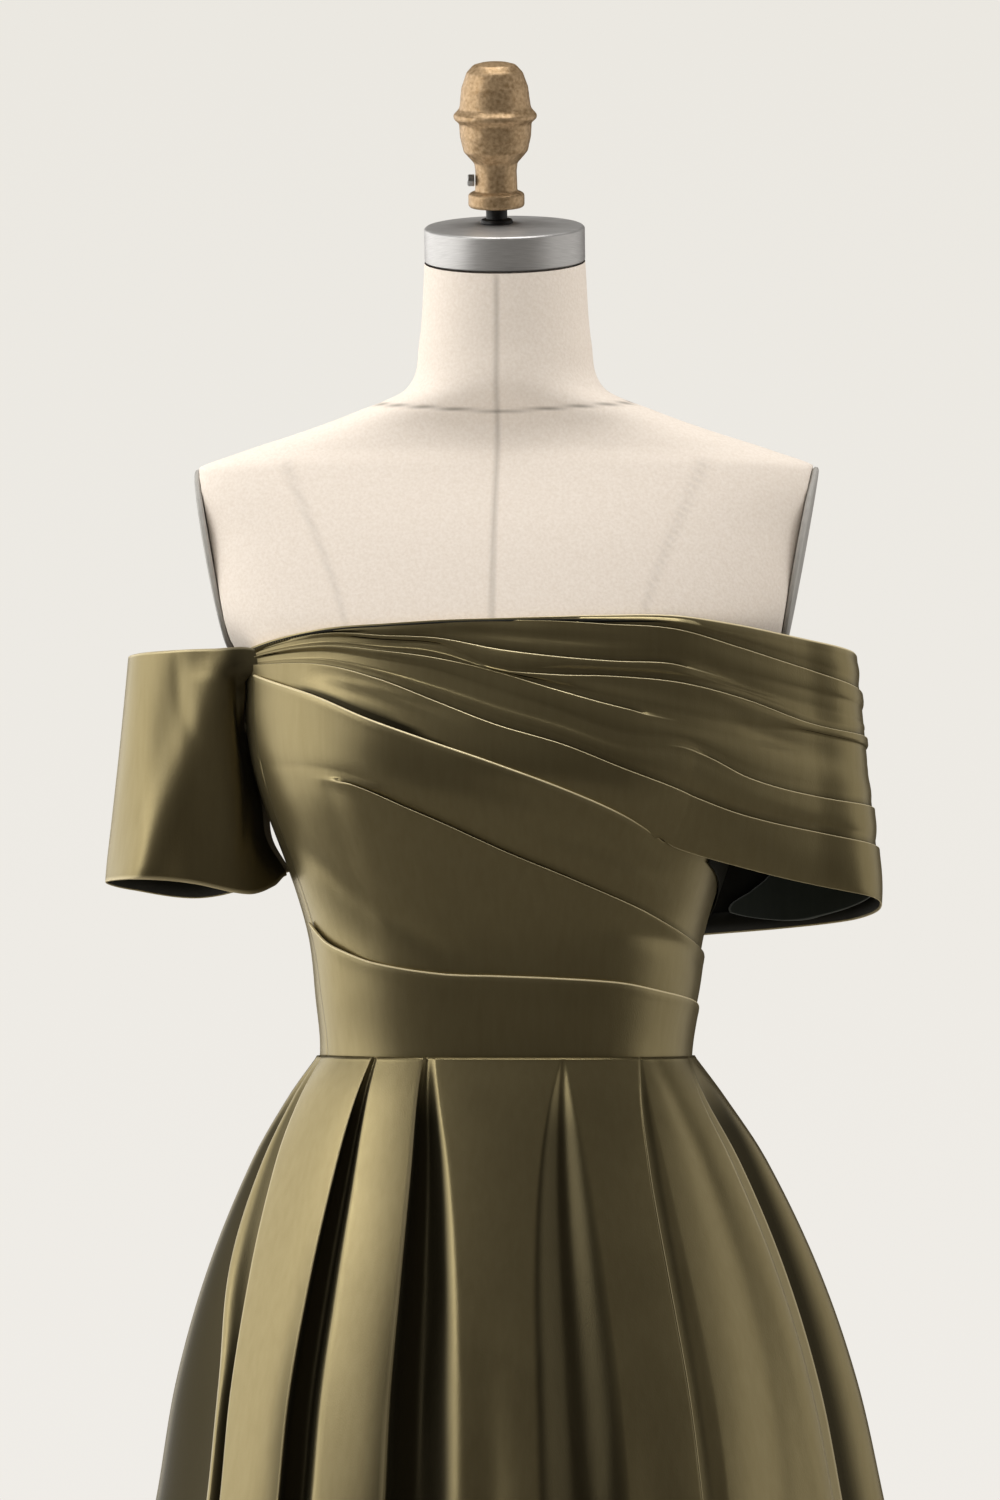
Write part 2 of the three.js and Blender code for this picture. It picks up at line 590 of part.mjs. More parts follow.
const FOLD_BOTTOM = 0.3;
const DEEP_SETTLE = 90;
const pleatEdge = (row, z) => mix(row.hip, row.waist, Math.exp(z / row.settle));
const pleatWide = (row, z) => mix(row.wide, row.slim, Math.exp(z / row.settle));
const pleatDeep = (row, z) => {
  const top = mix(row.deep[1], row.deep[0], Math.exp(z / DEEP_SETTLE));
  return top + (row.deep[2] - row.deep[1]) * THREE.MathUtils.clamp((HIP - z) / (HIP - HEM), 0, 1);
};
const valley = (t) => smooth(0, FOLD_BOTTOM, t) * (1 - smooth(FOLD_BOTTOM, 1, t));

// How far the pleats take the cloth in from the plain ring
function pleatsIn(deg, z) {
  let depth = 0;
  for (const row of PLEATS) {
    const t = (row.lap * (deg - pleatEdge(row, z))) / pleatWide(row, z);
    if (t > 0 && t < 1) depth += pleatDeep(row, z) * valley(t);
  }
  return depth;
}

function skirtRing(deg, z) {
  const turn = THREE.MathUtils.degToRad(deg);
  const half = skirtHalf(z);
  const depth = Math.cos(turn) >= 0 ? skirtFront(z) : skirtBack(z);
  const share = 2 / skirtPower(z);
  const x = half * Math.sign(Math.sin(turn)) * Math.abs(Math.sin(turn)) ** share;
  const y = -depth * Math.sign(Math.cos(turn)) * Math.abs(Math.cos(turn)) ** share;
  const size = Math.hypot(x / half ** 2, y / depth ** 2);
  return { x: x + skirtMiddle(z), y, nx: x / half ** 2 / size, ny: y / depth ** 2 / size };
}

function skirtPoint(deg, z) {
  const step = 0.4;
  const arc = 2 * THREE.MathUtils.degToRad(step) * skirtFront(z);
  const slope = (pleatsIn(deg + step, z) - pleatsIn(deg - step, z)) / arc;
  const thick = WALL * Math.min(Math.hypot(1, slope), 1.5 + Math.min(1, -z / 150));
  const outer = -pleatsIn(deg, z);
  return { ...skirtRing(deg, z), z, outer, inner: outer - thick };
}

// The columns of one skirt panel: each pleat's own, and some across the cloth between them
function skirtColumns(from, to) {
  const inPanel = PLEATS.filter((row) => row.hip > from && row.hip < to);
  const shares = [0, 0.14, FOLD_BOTTOM, 0.6, 1];
  const edges = [];
  for (const row of inPanel) {
    const own = shares.map((t) => (z) => pleatEdge(row, z) + row.lap * t * pleatWide(row, z));
    edges.push({ panel: row.panel, own: row.lap > 0 ? own : own.reverse() });
  }
  edges.push({ panel: from < 0 ? 0 : 2, own: [() => to] });
  const columns = [() => from];
  for (const { panel, own } of edges) {
    const left = columns.at(-1);
    for (let k = 1; k <= panel; k++) columns.push((z) => mix(left(z), own[0](z), k / (panel + 1)));
    columns.push(...own);
  }
  return columns;
}

const SKIRT_LEVELS = [-SEAM / 2, -12, -30, -55, -90, -140, -205, HIP, -400, -540, -700, -865, HEM];
function addSkirtPanel(name, from, to) {
  const columns = skirtColumns(from, to);
  wall(name, columns.length, SKIRT_LEVELS.length, (i, j) => {
    const z = SKIRT_LEVELS[j];
    return trimmed(skirtPoint(columns[i](z), z), i, columns.length);
  }, SATIN);
}
addSkirtPanel('skirt_front', -90, 90);
addSkirtPanel('skirt_back_left', 90, 180);
addSkirtPanel('skirt_back_right', 180, 270);

// Concealed zip in the centre-back seam: its tape behind the bodice and the skirt, slider and pull
const TAPE = { half: 12, thick: 0.8, top: 240, foot: 6, skirtTop: -6, skirtFoot: -180 };
wall('zip_tape_bodice', 5, 7, (i, j) => {
  const z = mix(TAPE.top, TAPE.foot, j / 6);
  const across = mix(-TAPE.half, TAPE.half, 1 - i / 4);
  const y = bodyRing(180, z).y - 0.4;
  return { x: across, y, nx: 0, ny: 1, z, inner: -SEAM - TAPE.thick, outer: -SEAM };
}, SATIN);
wall('zip_tape_skirt', 5, 6, (i, j) => {
  const z = mix(TAPE.skirtTop, TAPE.skirtFoot, j / 5);
  const across = mix(-TAPE.half, TAPE.half, 1 - i / 4);
  const middle = skirtPoint(180, z);
  const inside = middle.y + middle.inner - 0.9;
  return { x: middle.x + across, y: inside, nx: 0, ny: 1, z, inner: -SEAM - TAPE.thick, outer: -SEAM };
}, SATIN);

const SLIDER = { z: 231, wide: 7, high: 10, thick: 4 };
const PULL = { long: 24, wide: 5, thick: 1.4, gap: 0.45, eye: 0.7 };
function addSlider() {
  const back = bodyRing(180, SLIDER.z + SLIDER.high / 2).y + WALL + SEAM;
  const outline = new THREE.Shape();
  outline.moveTo(-SLIDER.wide / 2, SLIDER.high / 2);
  outline.lineTo(-SLIDER.wide * 0.3, -SLIDER.high / 2);
  outline.lineTo(SLIDER.wide * 0.3, -SLIDER.high / 2);
  outline.lineTo(SLIDER.wide / 2, SLIDER.high / 2);
  outline.closePath();
  const plain = (depth) => ({ depth, bevelEnabled: false, curveSegments: 8 });
  const slider = addMesh('zip_slider', new THREE.ExtrudeGeometry(outline, plain(SLIDER.thick)), BRASS);
  slider.rotation.x = Math.PI / 2;
  slider.position.set(0, back + SLIDER.thick, SLIDER.z + WAIST);
  const tab = new THREE.Shape();
  tab.moveTo(-1.2, PULL.eye);
  tab.lineTo(-PULL.wide / 2, PULL.wide - PULL.long);
  tab.absarc(0, PULL.wide / 2 - PULL.long, PULL.wide / 2, Math.PI, 2 * Math.PI);
  tab.lineTo(1.2, PULL.eye);
  tab.closePath();
  const pull = addMesh('zip_pull', new THREE.ExtrudeGeometry(tab, plain(PULL.thick)), BRASS);
  pull.rotation.x = Math.PI / 2;
  pull.position.set(0, back + SLIDER.thick + PULL.gap + PULL.thick, SLIDER.z + WAIST);
}
addSlider();
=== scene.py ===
# Looks of the off-shoulder satin dress on its dress form.
# The tables are in millimetres and degrees, with heights called z measured from the waist seam, angles
# from the front towards the wearer's left, and every mesh made in metres.
import math
import bpy
import numpy as np
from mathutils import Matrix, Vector


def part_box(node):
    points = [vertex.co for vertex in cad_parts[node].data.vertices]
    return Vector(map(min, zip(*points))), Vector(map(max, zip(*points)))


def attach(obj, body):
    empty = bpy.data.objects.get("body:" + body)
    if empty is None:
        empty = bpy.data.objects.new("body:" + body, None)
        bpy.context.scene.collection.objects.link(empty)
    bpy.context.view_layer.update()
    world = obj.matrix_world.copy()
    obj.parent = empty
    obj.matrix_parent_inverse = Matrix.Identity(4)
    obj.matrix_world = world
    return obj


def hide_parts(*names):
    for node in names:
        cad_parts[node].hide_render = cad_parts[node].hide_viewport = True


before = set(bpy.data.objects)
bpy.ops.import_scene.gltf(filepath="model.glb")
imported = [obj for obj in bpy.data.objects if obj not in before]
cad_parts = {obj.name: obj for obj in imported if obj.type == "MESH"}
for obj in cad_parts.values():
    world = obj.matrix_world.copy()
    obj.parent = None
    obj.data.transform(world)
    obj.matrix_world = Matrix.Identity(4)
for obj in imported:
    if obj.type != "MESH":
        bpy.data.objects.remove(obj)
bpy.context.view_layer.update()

MM = 0.001
WAIST = 1050
WALL = 1.5
EASE = 2.5
BODY_POWER = 2.5
HEM = -1033
HIP = -293
CLOTH = 0.8
FINE_CLOTH = 0.6
SKIRT_CLOTH = 0.7
BODY = "dress"


# Small helpers
def mix(a, b, t):
    return a + (b - a) * t


def smooth(low, high, value):
    t = np.clip((value - low) / (high - low), 0, 1)
    return t * t * (3 - 2 * t)


def bump(centre, wide, value):
    return np.exp(-(((value - centre) / wide) ** 2))


def track(keys, values):
    """A smooth curve through the values of one column, over the values of another."""
    keys = np.array(keys, float)
    values = np.array(values, float)
    last = len(keys) - 1
    before = np.maximum(np.arange(last + 1) - 1, 0)
    after = np.minimum(np.arange(last + 1) + 1, last)
    slopes = (values[after] - values[before]) / (keys[after] - keys[before])

    def at(key):
        key = np.clip(key, keys[0], keys[-1])
        k = np.clip(np.searchsorted(keys, key, side="right") - 1, 0, last - 1)
        span = keys[k + 1] - keys[k]
        t = (key - keys[k]) / span
        rise = values[k + 1] - values[k]
        a = slopes[k] * span - rise
        b = rise - slopes[k + 1] * span
        return values[k] + rise * t + t * (1 - t) * (a * (1 - t) + b * t)

    return at


def rows_of(names, *rows):
    """The rows of a table, with each value under its column's name."""
    return [dict(zip(names.split(), row)) for row in rows]


def column(rows, key, name):
    return track([row[key] for row in rows], [row[name] for row in rows])


def ring(deg, half, front, back, power):
    """Points of a body's ring at angles from the front, with their outward directions in plan."""
    turn = np.radians(deg)
    sine, cosine = np.sin(turn), np.cos(turn)
    depth = np.where(cosine >= 0, front, back)
    reach = ((np.abs(sine) / half) ** power + (np.abs(cosine) / depth) ** power) ** (-1 / power)
    x, y = reach * sine, -reach * cosine
    across = np.sign(x) * np.abs(x) ** (power - 1) / half**power
    along = np.sign(y) * np.abs(y) ** (power - 1) / depth**power
    size = np.hypot(across, along)
    return x, y, across / size, along / size


def curve(points, share):
    """Place and outward direction on a smooth plan curve through points, at a share of its stops."""
    shape = np.broadcast_shapes(np.shape(share), *(np.shape(p[0]) for p in points))
    line = np.array([[np.broadcast_to(c, shape) for c in p] for p in points], float)
    stops = len(points) - 1
    place = np.broadcast_to(share, shape) * stops
    k = np.clip(np.floor(place).astype(int), 0, stops - 1)
    w = place - k
    rows, columns = np.indices(shape)

    def point(index):
        return line[np.clip(index, 0, stops), :, rows, columns]

    b, c = point(k), point(k + 1)
    a = np.where((k > 0)[..., None], point(k - 1), 2 * b - c)
    d = np.where((k < stops - 1)[..., None], point(k + 2), 2 * c - b)

    def gap(p, q):
        return np.maximum(np.sum((p - q) ** 2, -1, keepdims=True) ** 0.25, 1e-4)

    ab, bc, cd = gap(a, b), gap(b, c), gap(c, d)
    start = ((b - a) / ab - (c - a) / (ab + bc) + (c - b) / bc) * bc
    end = ((c - b) / bc - (d - b) / (bc + cd) + (d - c) / cd) * bc
    w = w[..., None]
    square = -3 * b + 3 * c - 2 * start - end
    cube = 2 * b - 2 * c + start + end
    at = b + start * w + square * w**2 + cube * w**3
    along = start + 2 * square * w + 3 * cube * w**2
    along = along / np.linalg.norm(along, axis=-1, keepdims=True)
    return at[..., 0], at[..., 1], along[..., 1], -along[..., 0]


# Meshes
def grid_normals(x, y, z):
    place = np.stack([x, y, z], -1)
    normal = np.cross(np.gradient(place, axis=0), np.gradient(place, axis=1))
    return normal / np.maximum(np.linalg.norm(normal, axis=-1, keepdims=True), 1e-9)


def make_mesh(name, vertices, faces, looks, attributes, uv):
    mesh = bpy.data.meshes.new(name)
    mesh.from_pydata(vertices.tolist(), [], faces.tolist())
    for label, values in attributes.items():
        layer = mesh.attributes.new(label, "FLOAT", "POINT")
        layer.data.foreach_set("value", np.asarray(values, np.float32).ravel())
    layer = mesh.uv_layers.new(name="cloth")
    loops = np.zeros(len(mesh.loops), np.int32)
    mesh.loops.foreach_get("vertex_index", loops)
    layer.data.foreach_set("uv", np.asarray(uv, np.float32)[loops].ravel())
    mesh.polygons.foreach_set("use_smooth", np.ones(len(mesh.polygons), bool))
    mesh.materials.append(looks)
    piece = bpy.data.objects.new(name, mesh)
    bpy.context.scene.collection.objects.link(piece)
    return piece


def grid_mesh(name, x, y, z, looks, closed=False, attributes=None):
    """A sheet from a grid of places in millimetres: rows run down, columns towards the wearer's left."""
    rows, columns = x.shape
    index = np.arange(rows * columns).reshape(rows, columns)
    if closed:
        index = np.column_stack([index, index[:, 0]])
    corners = (index[:-1, :-1], index[1:, :-1], index[1:, 1:], index[:-1, 1:])
    faces = np.stack([c.ravel() for c in corners], -1)
    place = np.stack([x, y, z + WAIST], -1) * MM
    down = np.cumsum(np.linalg.norm(np.diff(place, axis=0, prepend=place[:1]), axis=-1), 0)
    across = np.cumsum(np.linalg.norm(np.diff(place, axis=1, prepend=place[:, :1]), axis=-1), 1)
    uv = np.stack([across, -down], -1).reshape(-1, 2)
    return make_mesh(name, place.reshape(-1, 3), faces, looks, attributes or {}, uv)


def thicken(piece, thick=CLOTH, inside=None, turned_in=(), columns=1):
    """The cloth's own thickness, inwards from the modelled face. Its inside, and the rows of faces that are
    turned
    in too, can take another look: here the satin near black, as painted shade."""
    wall = piece.modifiers.new("thickness", "SOLIDIFY")
    wall.thickness = thick * MM
    wall.offset = -1
    wall.use_rim = True
    if inside:
        piece.data.materials.append(inside)
        wall.material_offset = 1
        for face in piece.data.polygons:
            if face.index // columns in turned_in:
                face.material_index = 1
    return piece


def settle(piece, node):
    """Sets a finished piece on the dress's body, in place of its solid."""
    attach(piece, BODY)
    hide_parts(node)


# Material nodes
def nodes_of(name):
    look = bpy.data.materials.new(name)
    look.use_nodes = True
    tree = look.node_tree
    shader = tree.nodes["Principled BSDF"]
    return look, tree, shader


def add_node(tree, kind, **settings):
    node = tree.nodes.new(kind)
    for key, value in settings.items():
        if key in node.inputs:
            node.inputs[key].default_value = value
        else:
            setattr(node, key, value)
    return node


def noise(tree, scale, detail=2, stretch=(1, 1, 1)):
    place = add_node(tree, "ShaderNodeTexCoord")
    spread = add_node(tree, "ShaderNodeMapping")
    spread.inputs["Scale"].default_value = stretch
    tree.links.new(place.outputs["Object"], spread.inputs["Vector"])
    texture = add_node(tree, "ShaderNodeTexNoise", Scale=scale, Detail=detail)
    tree.links.new(spread.outputs[0], texture.inputs["Vector"])
    return texture.outputs["Fac"]


def ramp(tree, source, low, high, from_value, to_value):
    fit = add_node(tree, "ShaderNodeMapRange")
    fit.inputs["From Min"].default_value = low
    fit.inputs["From Max"].default_value = high
    fit.inputs["To Min"].default_value = from_value
    fit.inputs["To Max"].default_value = to_value
    tree.links.new(source, fit.inputs["Value"])
    return fit.outputs[0]


def mark(tree, name):
    """A value that the mesh has at each point."""
    return add_node(tree, "ShaderNodeAttribute", attribute_name=name).outputs["Fac"]


def blend_colours(tree, factor, first, second):
    mixer = add_node(tree, "ShaderNodeMix", data_type="RGBA")
    tree.links.new(factor, mixer.inputs["Factor"])
    for socket, colour in ((mixer.inputs[6], first), (mixer.inputs[7], second)):
        if isinstance(colour, tuple):
            socket.default_value = (*colour, 1)
        else:
            tree.links.new(colour, socket)
    return mixer.outputs[2]


def add_bump(tree, shader, source, strength, distance):
    relief = add_node(tree, "ShaderNodeBump", Strength=strength, Distance=distance)
    tree.links.new(source, relief.inputs["Height"])
    tree.links.new(relief.outputs[0], shader.inputs["Normal"])


def mix_shaders(tree, factor, first, second):
    mixer = add_node(tree, "ShaderNodeMixShader")
    for source, socket in zip((factor, first, second), mixer.inputs):
        tree.links.new(source, socket)
    return mixer.outputs[0]


# Colours of the painted highlight along marked edges and of the painted shade, the darker drawn seams of the
# linen, and how much metal a painted highlight keeps
HIGHLIGHT_GAIN = 2.0
HIGHLIGHT_HAZE = 0.12
PAINTED_SHADE_LEVEL = 0.12
SEAM_DARK = 0.45
HIGHLIGHT_LUSTRE = 0.2


def satin_material(name, deep, lit, roughness, lustre, shine=0.5):
    """Slubbed satin, paler along the mesh's marked edges, as a painted highlight on folded ones, and with
    painted shade where it is marked as in shade.
    """
    look, tree, shader = nodes_of(name)
    slub = ramp(tree, noise(tree, 240, 3, (1, 1, 0.12)), 0.3, 0.7, 0.3, 0.7)
    colour = blend_colours(tree, slub, deep, lit)
    # Painted highlight: the colour turns paler along the mesh's marked edges
    edge = mark(tree, "edge")
    colour = blend_colours(tree, edge, colour, tuple(min(1, HIGHLIGHT_GAIN * c + HIGHLIGHT_HAZE) for c in lit))
    # Painted shade: the colour turns near black where the mesh is marked as in shade
    colour = blend_colours(tree, mark(tree, "shade"), colour, tuple(PAINTED_SHADE_LEVEL * c for c in deep))
    tree.links.new(colour, shader.inputs["Base Color"])
    cloudy = ramp(tree, noise(tree, 9), 0.3, 0.7, roughness - 0.03, roughness + 0.04)
    tree.links.new(cloudy, shader.inputs["Roughness"])
    # Along a painted highlight most of the metal goes, so that its pale colour shows
    if lustre:
        highlight_metal = ramp(tree, edge, 0, 1, lustre, HIGHLIGHT_LUSTRE * lustre)
        tree.links.new(highlight_metal, shader.inputs["Metallic"])
    shader.inputs["Specular IOR Level"].default_value = shine
    shader.inputs["Anisotropic"].default_value = 0.3
    shader.inputs["Sheen Weight"].default_value = 0.06 * shine
    shader.inputs["Sheen Roughness"].default_value = 0.4
    shader.inputs["Sheen Tint"].default_value = (0.95, 0.86, 0.55, 1)
    weave = noise(tree, 1500, 2, (1, 1, 0.35))
    add_bump(tree, shader, weave, 0.18, 0.0004)
    return look


def plain_material(name, first, second, roughness, scale, metallic=0.0, grain=0.1, stretch=(1, 1, 1),
                   seam=""):
    """Linen, paint or metal, mottled between two colours, with a mesh's seams drawn darker."""
    look, tree, shader = nodes_of(name)
    pattern = noise(tree, scale, 4, stretch)
    colour = blend_colours(tree, ramp(tree, pattern, 0.3, 0.7, 0, 1), first, second)
    if seam:
        colour = blend_colours(tree, mark(tree, seam), colour, tuple(SEAM_DARK * c for c in first))
    tree.links.new(colour, shader.inputs["Base Color"])
    mottled = ramp(tree, pattern, 0.3, 0.7, roughness - 0.05, roughness + 0.05)
    tree.links.new(mottled, shader.inputs["Roughness"])
    shader.inputs["Metallic"].default_value = metallic
    add_bump(tree, shader, pattern, grain, 0.0005)
    return look


SATIN = satin_material("olive_satin", (0.28, 0.228, 0.112), (0.34, 0.282, 0.148), 0.33, 0.88)
# A grey-green lining, near black as painted shade inside the left sleeve
LINING = satin_material("grey_green_lining", (0.020, 0.024, 0.018), (0.028, 0.033, 0.026), 0.6, 0.0, 0.2)
# The olive satin near black, as painted shade: on the cloth's inside, its turned-in edges and the left
# sleeve's inner wall
SATIN_IN_PAINTED_SHADE = satin_material("satin_in_painted_shade", (0.010, 0.0095, 0.006), (0.014, 0.013, 0.008), 0.6, 0.0, 0.15)
LINEN = plain_material("linen_cover", (0.84, 0.74, 0.64), (0.92, 0.83, 0.74), 0.9, 500, 0, 0.35, seam="seam")
GREY = plain_material("grey_paint", (0.38, 0.37, 0.345), (0.45, 0.43, 0.40), 0.55, 60, 0, 0.08)
BRUSHED = plain_material("brushed_steel", (0.52, 0.51, 0.50), (0.66, 0.65, 0.64), 0.42, 90, 0.7,
                         stretch=(1, 1, 30))
BRASS = plain_material("hammered_brass", (0.36, 0.23, 0.11), (0.62, 0.44, 0.26), 0.42, 420, 0.6, 0.35)
BLACK = plain_material("blackened_steel", (0.008, 0.008, 0.008), (0.02, 0.019, 0.018), 0.45, 200, 0.4)
ZINC = plain_material("zinc_plate", (0.5, 0.5, 0.49), (0.62, 0.62, 0.6), 0.35, 200, 1.0)
IRON = plain_material("black_iron", (0.018, 0.018, 0.019), (0.035, 0.034, 0.034), 0.5, 140, 0.5, 0.25)
ZIP_METAL = plain_material("lacquered_zip", (0.16, 0.13, 0.06), (0.22, 0.18, 0.09), 0.35, 200, 0.8)

# The dress form: half width, depth in front and behind, and how far its middle lies forward
TORSO_FOOT = -200
NECK_FOOT = 442
NECK_TOP = 524
NECK_TILT = 14
FORM = rows_of(
    "z half front back lean",
    (TORSO_FOOT, 160, 104, 114, 0),
    (-100, 146, 98, 102, 0),
    (-40, 127, 90, 89, 0),
    (0, 118.5, 87.5, 84, 0),
    (40, 121.5, 90.5, 85, 0),
    (80, 126.5, 96, 88, 0),
    (123, 139.5, 108, 91, 0),
    (168, 156, 123, 95, 0),
    (192, 163, 126, 97, 0),
    (221, 168, 120, 99, 0),
    (257, 173, 109, 100.5, 0),
    (290, 190, 100, 102, 0),
    (340, 200, 82, 97, 0),
    (386, 207, 60, 78, 0),
    (399, 176, 54, 72, 0),
    (412, 136, 53, 68, 0),
    (425, 100, 55, 64, 2),
    (440, 66, 58, 60, 4),
    (470, 57, 54, 56, 8),
    (NECK_TOP, 53, 53, 53, 12),
)
form_half = column(FORM, "z", "half")
form_front = column(FORM, "z", "front")
form_back = column(FORM, "z", "back")
form_lean = column(FORM, "z", "lean")
NECK_POWER = 2
GROOVE = 0.55
# The flat armhole plates: where each cuts the form's side, at one height, and how it slopes
PLATE = {"z": 329, "x": 191.5, "slope": 0.185, "from": 240, "to": 392}


def body_ring(deg, z):
    """The inside of the cloth: the form's ring with the ease round it."""
    return ring(deg, form_half(z) + EASE, form_front(z) + EASE, form_back(z) + EASE, BODY_POWER)


def plate_x(z):
    return PLATE["x"] + (z - PLATE["z"]) * PLATE["slope"]


# Seams of the form's cover: the angle at each height, and a narrow groove along it
COVER_SEAMS = [
    {"z": [TORSO_FOOT, 0, 250, 400, NECK_TOP], "deg": [0, 0, -1.5, -2.5, -2.5], "deep": 0.5},
    {"z": [TORSO_FOOT, 0, 200, 290, 392], "deg": [-26, -28, -38, -48, -72], "deep": 0.22},
    {"z": [TORSO_FOOT, 0, 200, 290, 392], "deg": [26, 28, 38, 46, 70], "deep": 0.22},
    {"z": [TORSO_FOOT, 0, 290, NECK_TOP], "deg": [180, 180, 180, 180], "deep": 0.5},
    {"z": [TORSO_FOOT, 0, 200, 392], "deg": [148, 146, 140, 116], "deep": 0.3},
    {"z": [TORSO_FOOT, 0, 200, 392], "deg": [-148, -146, -140, -116], "deep": 0.3},
]


def make_form():
    degs = np.linspace(0, 360, 289)[:-1][None, :]
    levels = np.concatenate([np.linspace(TORSO_FOOT, 380, 150), np.linspace(382, NECK_TOP, 80)])
    z = levels[::-1][:, None]
    power = mix(BODY_POWER, NECK_POWER, smooth(400, 450, z))
    x, y, nx, ny = ring(degs, form_half(z), form_front(z), form_back(z), power)
    z = z + 0 * x
    groove = 0 * x
    seam = 0 * x
    for row in COVER_SEAMS:
        angle = track(row["z"], row["deg"])(z)
        off = np.abs((degs - angle + 180) % 360 - 180) * np.radians(np.hypot(x, y))
        inside = smooth(row["z"][-1] + 2, row["z"][-1] - 4, z)
        groove += inside * bump(0, 2, off) * row["deep"]
        seam += inside * bump(0, 1.9, off) * row["deep"]
    neckline = NECK_FOOT - 10 - 10 * np.cos(np.radians(degs))
    groove += bump(0, 1.2, z - neckline)
    seam += bump(0, 0.8, z - neckline)
    x = x - nx * groove * GROOVE
    y = y - ny * groove * GROOVE
    between = (z > PLATE["from"]) & (z < PLATE["to"])
    limit = np.where(between, plate_x(z), 1000)
    x = np.clip(x, -limit, limit)
    tilt = math.tan(math.radians(NECK_TILT))
    high = z + y * tilt * smooth(NECK_FOOT, NECK_TOP, z)
    cover = grid_mesh("form_cover", x, y - form_lean(z), high, LINEN, True, {"seam": np.clip(seam, 0, 1)})
    settle(cover, "form_torso")


make_form()

# The drape over the bust: each row is a folded edge, from the neckline down, with its rise off the body,
# the sweeps where it comes and goes, and its height at each of SWEEPS. A sweep is the angle round the body
# up to LEAVES, and from there the way round the left sleeve.
LEAVES = 52
SWEEPS = [-72, -51, -35, -19, 0, 19, 35, 51, 62, 74, 92, 112, 130]
DRAPE = rows_of(
    "rise from to z",
    (0, -90, 150, [266, 278, 281, 283, 284, 285, 286, 286, 281, 273, 263, 254, 247]),
    (1.6, 4, 150, [264.4, 276.6, 279.6, 281.4, 282.6, 282, 280, 277, 266, 253, 238, 232, 228]),
    (1.8, -60, 62, [263, 274.8, 273, 271, 264, 259, 256, 254, 244, 234, 223, 219, 216]),
    (1.7, -6, 150, [261.8, 270.8, 268, 264.5, 251, 247, 246, 242, 232, 217, 209, 206, 203]),
    (1.9, -78, 50, [260.4, 267, 263, 258, 249, 237, 226, 217, 210, 207, 197, 195, 193]),
    (1.7, 44, 150, [258.4, 261, 254, 245, 232, 219, 205, 200, 181, 170, 163, 160, 158]),
    (2.1, -82, 150, [256, 255, 245, 231, 215, 202, 186, 171, 157, 147, 137, 134, 132]),
    (0, -90, 150, [252, 236, 219, 205, 190, 174, 158, 138, 125, 113, 101, 88, 79]),
)
drape_edges = [track(SWEEPS, row["z"]) for row in DRAPE]
lower_edge = drape_edges[-1]

LEFT_CORNER = {"x": 225, "y": -38, "cuff_x": 240, "cuff_y": -32}
LEFT_ROUND = [
    {"x": 228.5, "y": 8, "cuff_x": 245, "cuff_y": 6},
    {"x": 214, "y": 46, "cuff_x": 227, "cuff_y": 48},
    {"x": 176, "y": 68, "cuff_x": 176, "cuff_y": 74},
]
SLEEVE_TOP = 265
CUFF = 105
BACK_JOIN = 118
LEAVE_LIFT = 2.7
LEAVE_SPAN = 12
SLEEVE_BULGE = 3.6


def plan_point(row, z):
    share = (SLEEVE_TOP - z) / (SLEEVE_TOP - CUFF)
    return mix(row["x"], row["cuff_x"], share), mix(row["y"], row["cuff_y"], share)


def ring_point(deg, z, out):
    x, y, nx, ny = body_ring(deg, z)
    return x + nx * out, y + ny * out


def drape_path(sweep, z):
    """The inner face of the drape: round the body, then off it and round the left sleeve."""
    x, y, nx, ny = body_ring(sweep, z)
    lift = LEAVE_LIFT * np.clip((sweep - LEAVES) / LEAVE_SPAN + 1, 0, 1) ** 2
    on_body = (x + nx * lift, y + ny * lift, nx, ny)
    leave = ring_point(LEAVES, z, LEAVE_LIFT)
    corner = plan_point(LEFT_CORNER, z)
    points = [ring_point(LEAVES - LEAVE_SPAN, z, 0), leave]
    long = np.hypot(corner[0] - leave[0], corner[1] - leave[1])
    for share in (0.36, 0.72):
        bulge = SLEEVE_BULGE * 4 * share * (1 - share) / long
        x = mix(leave[0], corner[0], share) + bulge * (corner[1] - leave[1])
        y = mix(leave[1], corner[1], share) - bulge * (corner[0] - leave[0])
        points.append((x, y))
    points += [corner, *(plan_point(row, z) for row in LEFT_ROUND), ring_point(BACK_JOIN, z, WALL + 0.6)]
    stops = len(points) - 1
    share = np.clip((sweep - LEAVES) / (SWEEPS[-1] - LEAVES), 0, 1)
    on_sleeve = curve(points, mix(1, stops, share) / stops)
    return [np.where(sweep <= LEAVES, a, b) for a, b in zip(on_body, on_sleeve)]


# Folded cloth. A fold's rows go down the cloth above, under the folded edge, back up and over it. Each has
# its height from the edge where the cloth is folded and where it lies flat, its share of the fold's rise,
# how much painted highlight it has and how much painted shade.
FOLD = rows_of(
    "down flat off pale shade",
    (5.0, 5.0, 0.0, 0, 0),
    (2.0, 3.2, -0.02, 0, 0.25),
    (-0.5, 1.8, -0.04, 0, 0.8),
    (-4.5, 1.0, 0.02, 0, 1),
    (-5.5, 0.6, 0.14, 0, 1),
    (-5.6, 0.2, 0.3, 0, 1),
    (-4.5, -0.1, 0.45, 0, 1),
    (-1.2, -0.4, 0.55, 0, 0.9),
    (-0.15, -0.7, 0.7, 0.7, 0.1),
    (0.0, -1.0, 0.86, 1, 0),
    (-0.2, -1.3, 0.98, 0.9, 0),
    (-0.65, -1.7, 1.02, 0, 0),
    (-1.6, -2.6, 1.02, 0, 0),
    (-4.5, -4.5, 1.0, 0, 0),
)
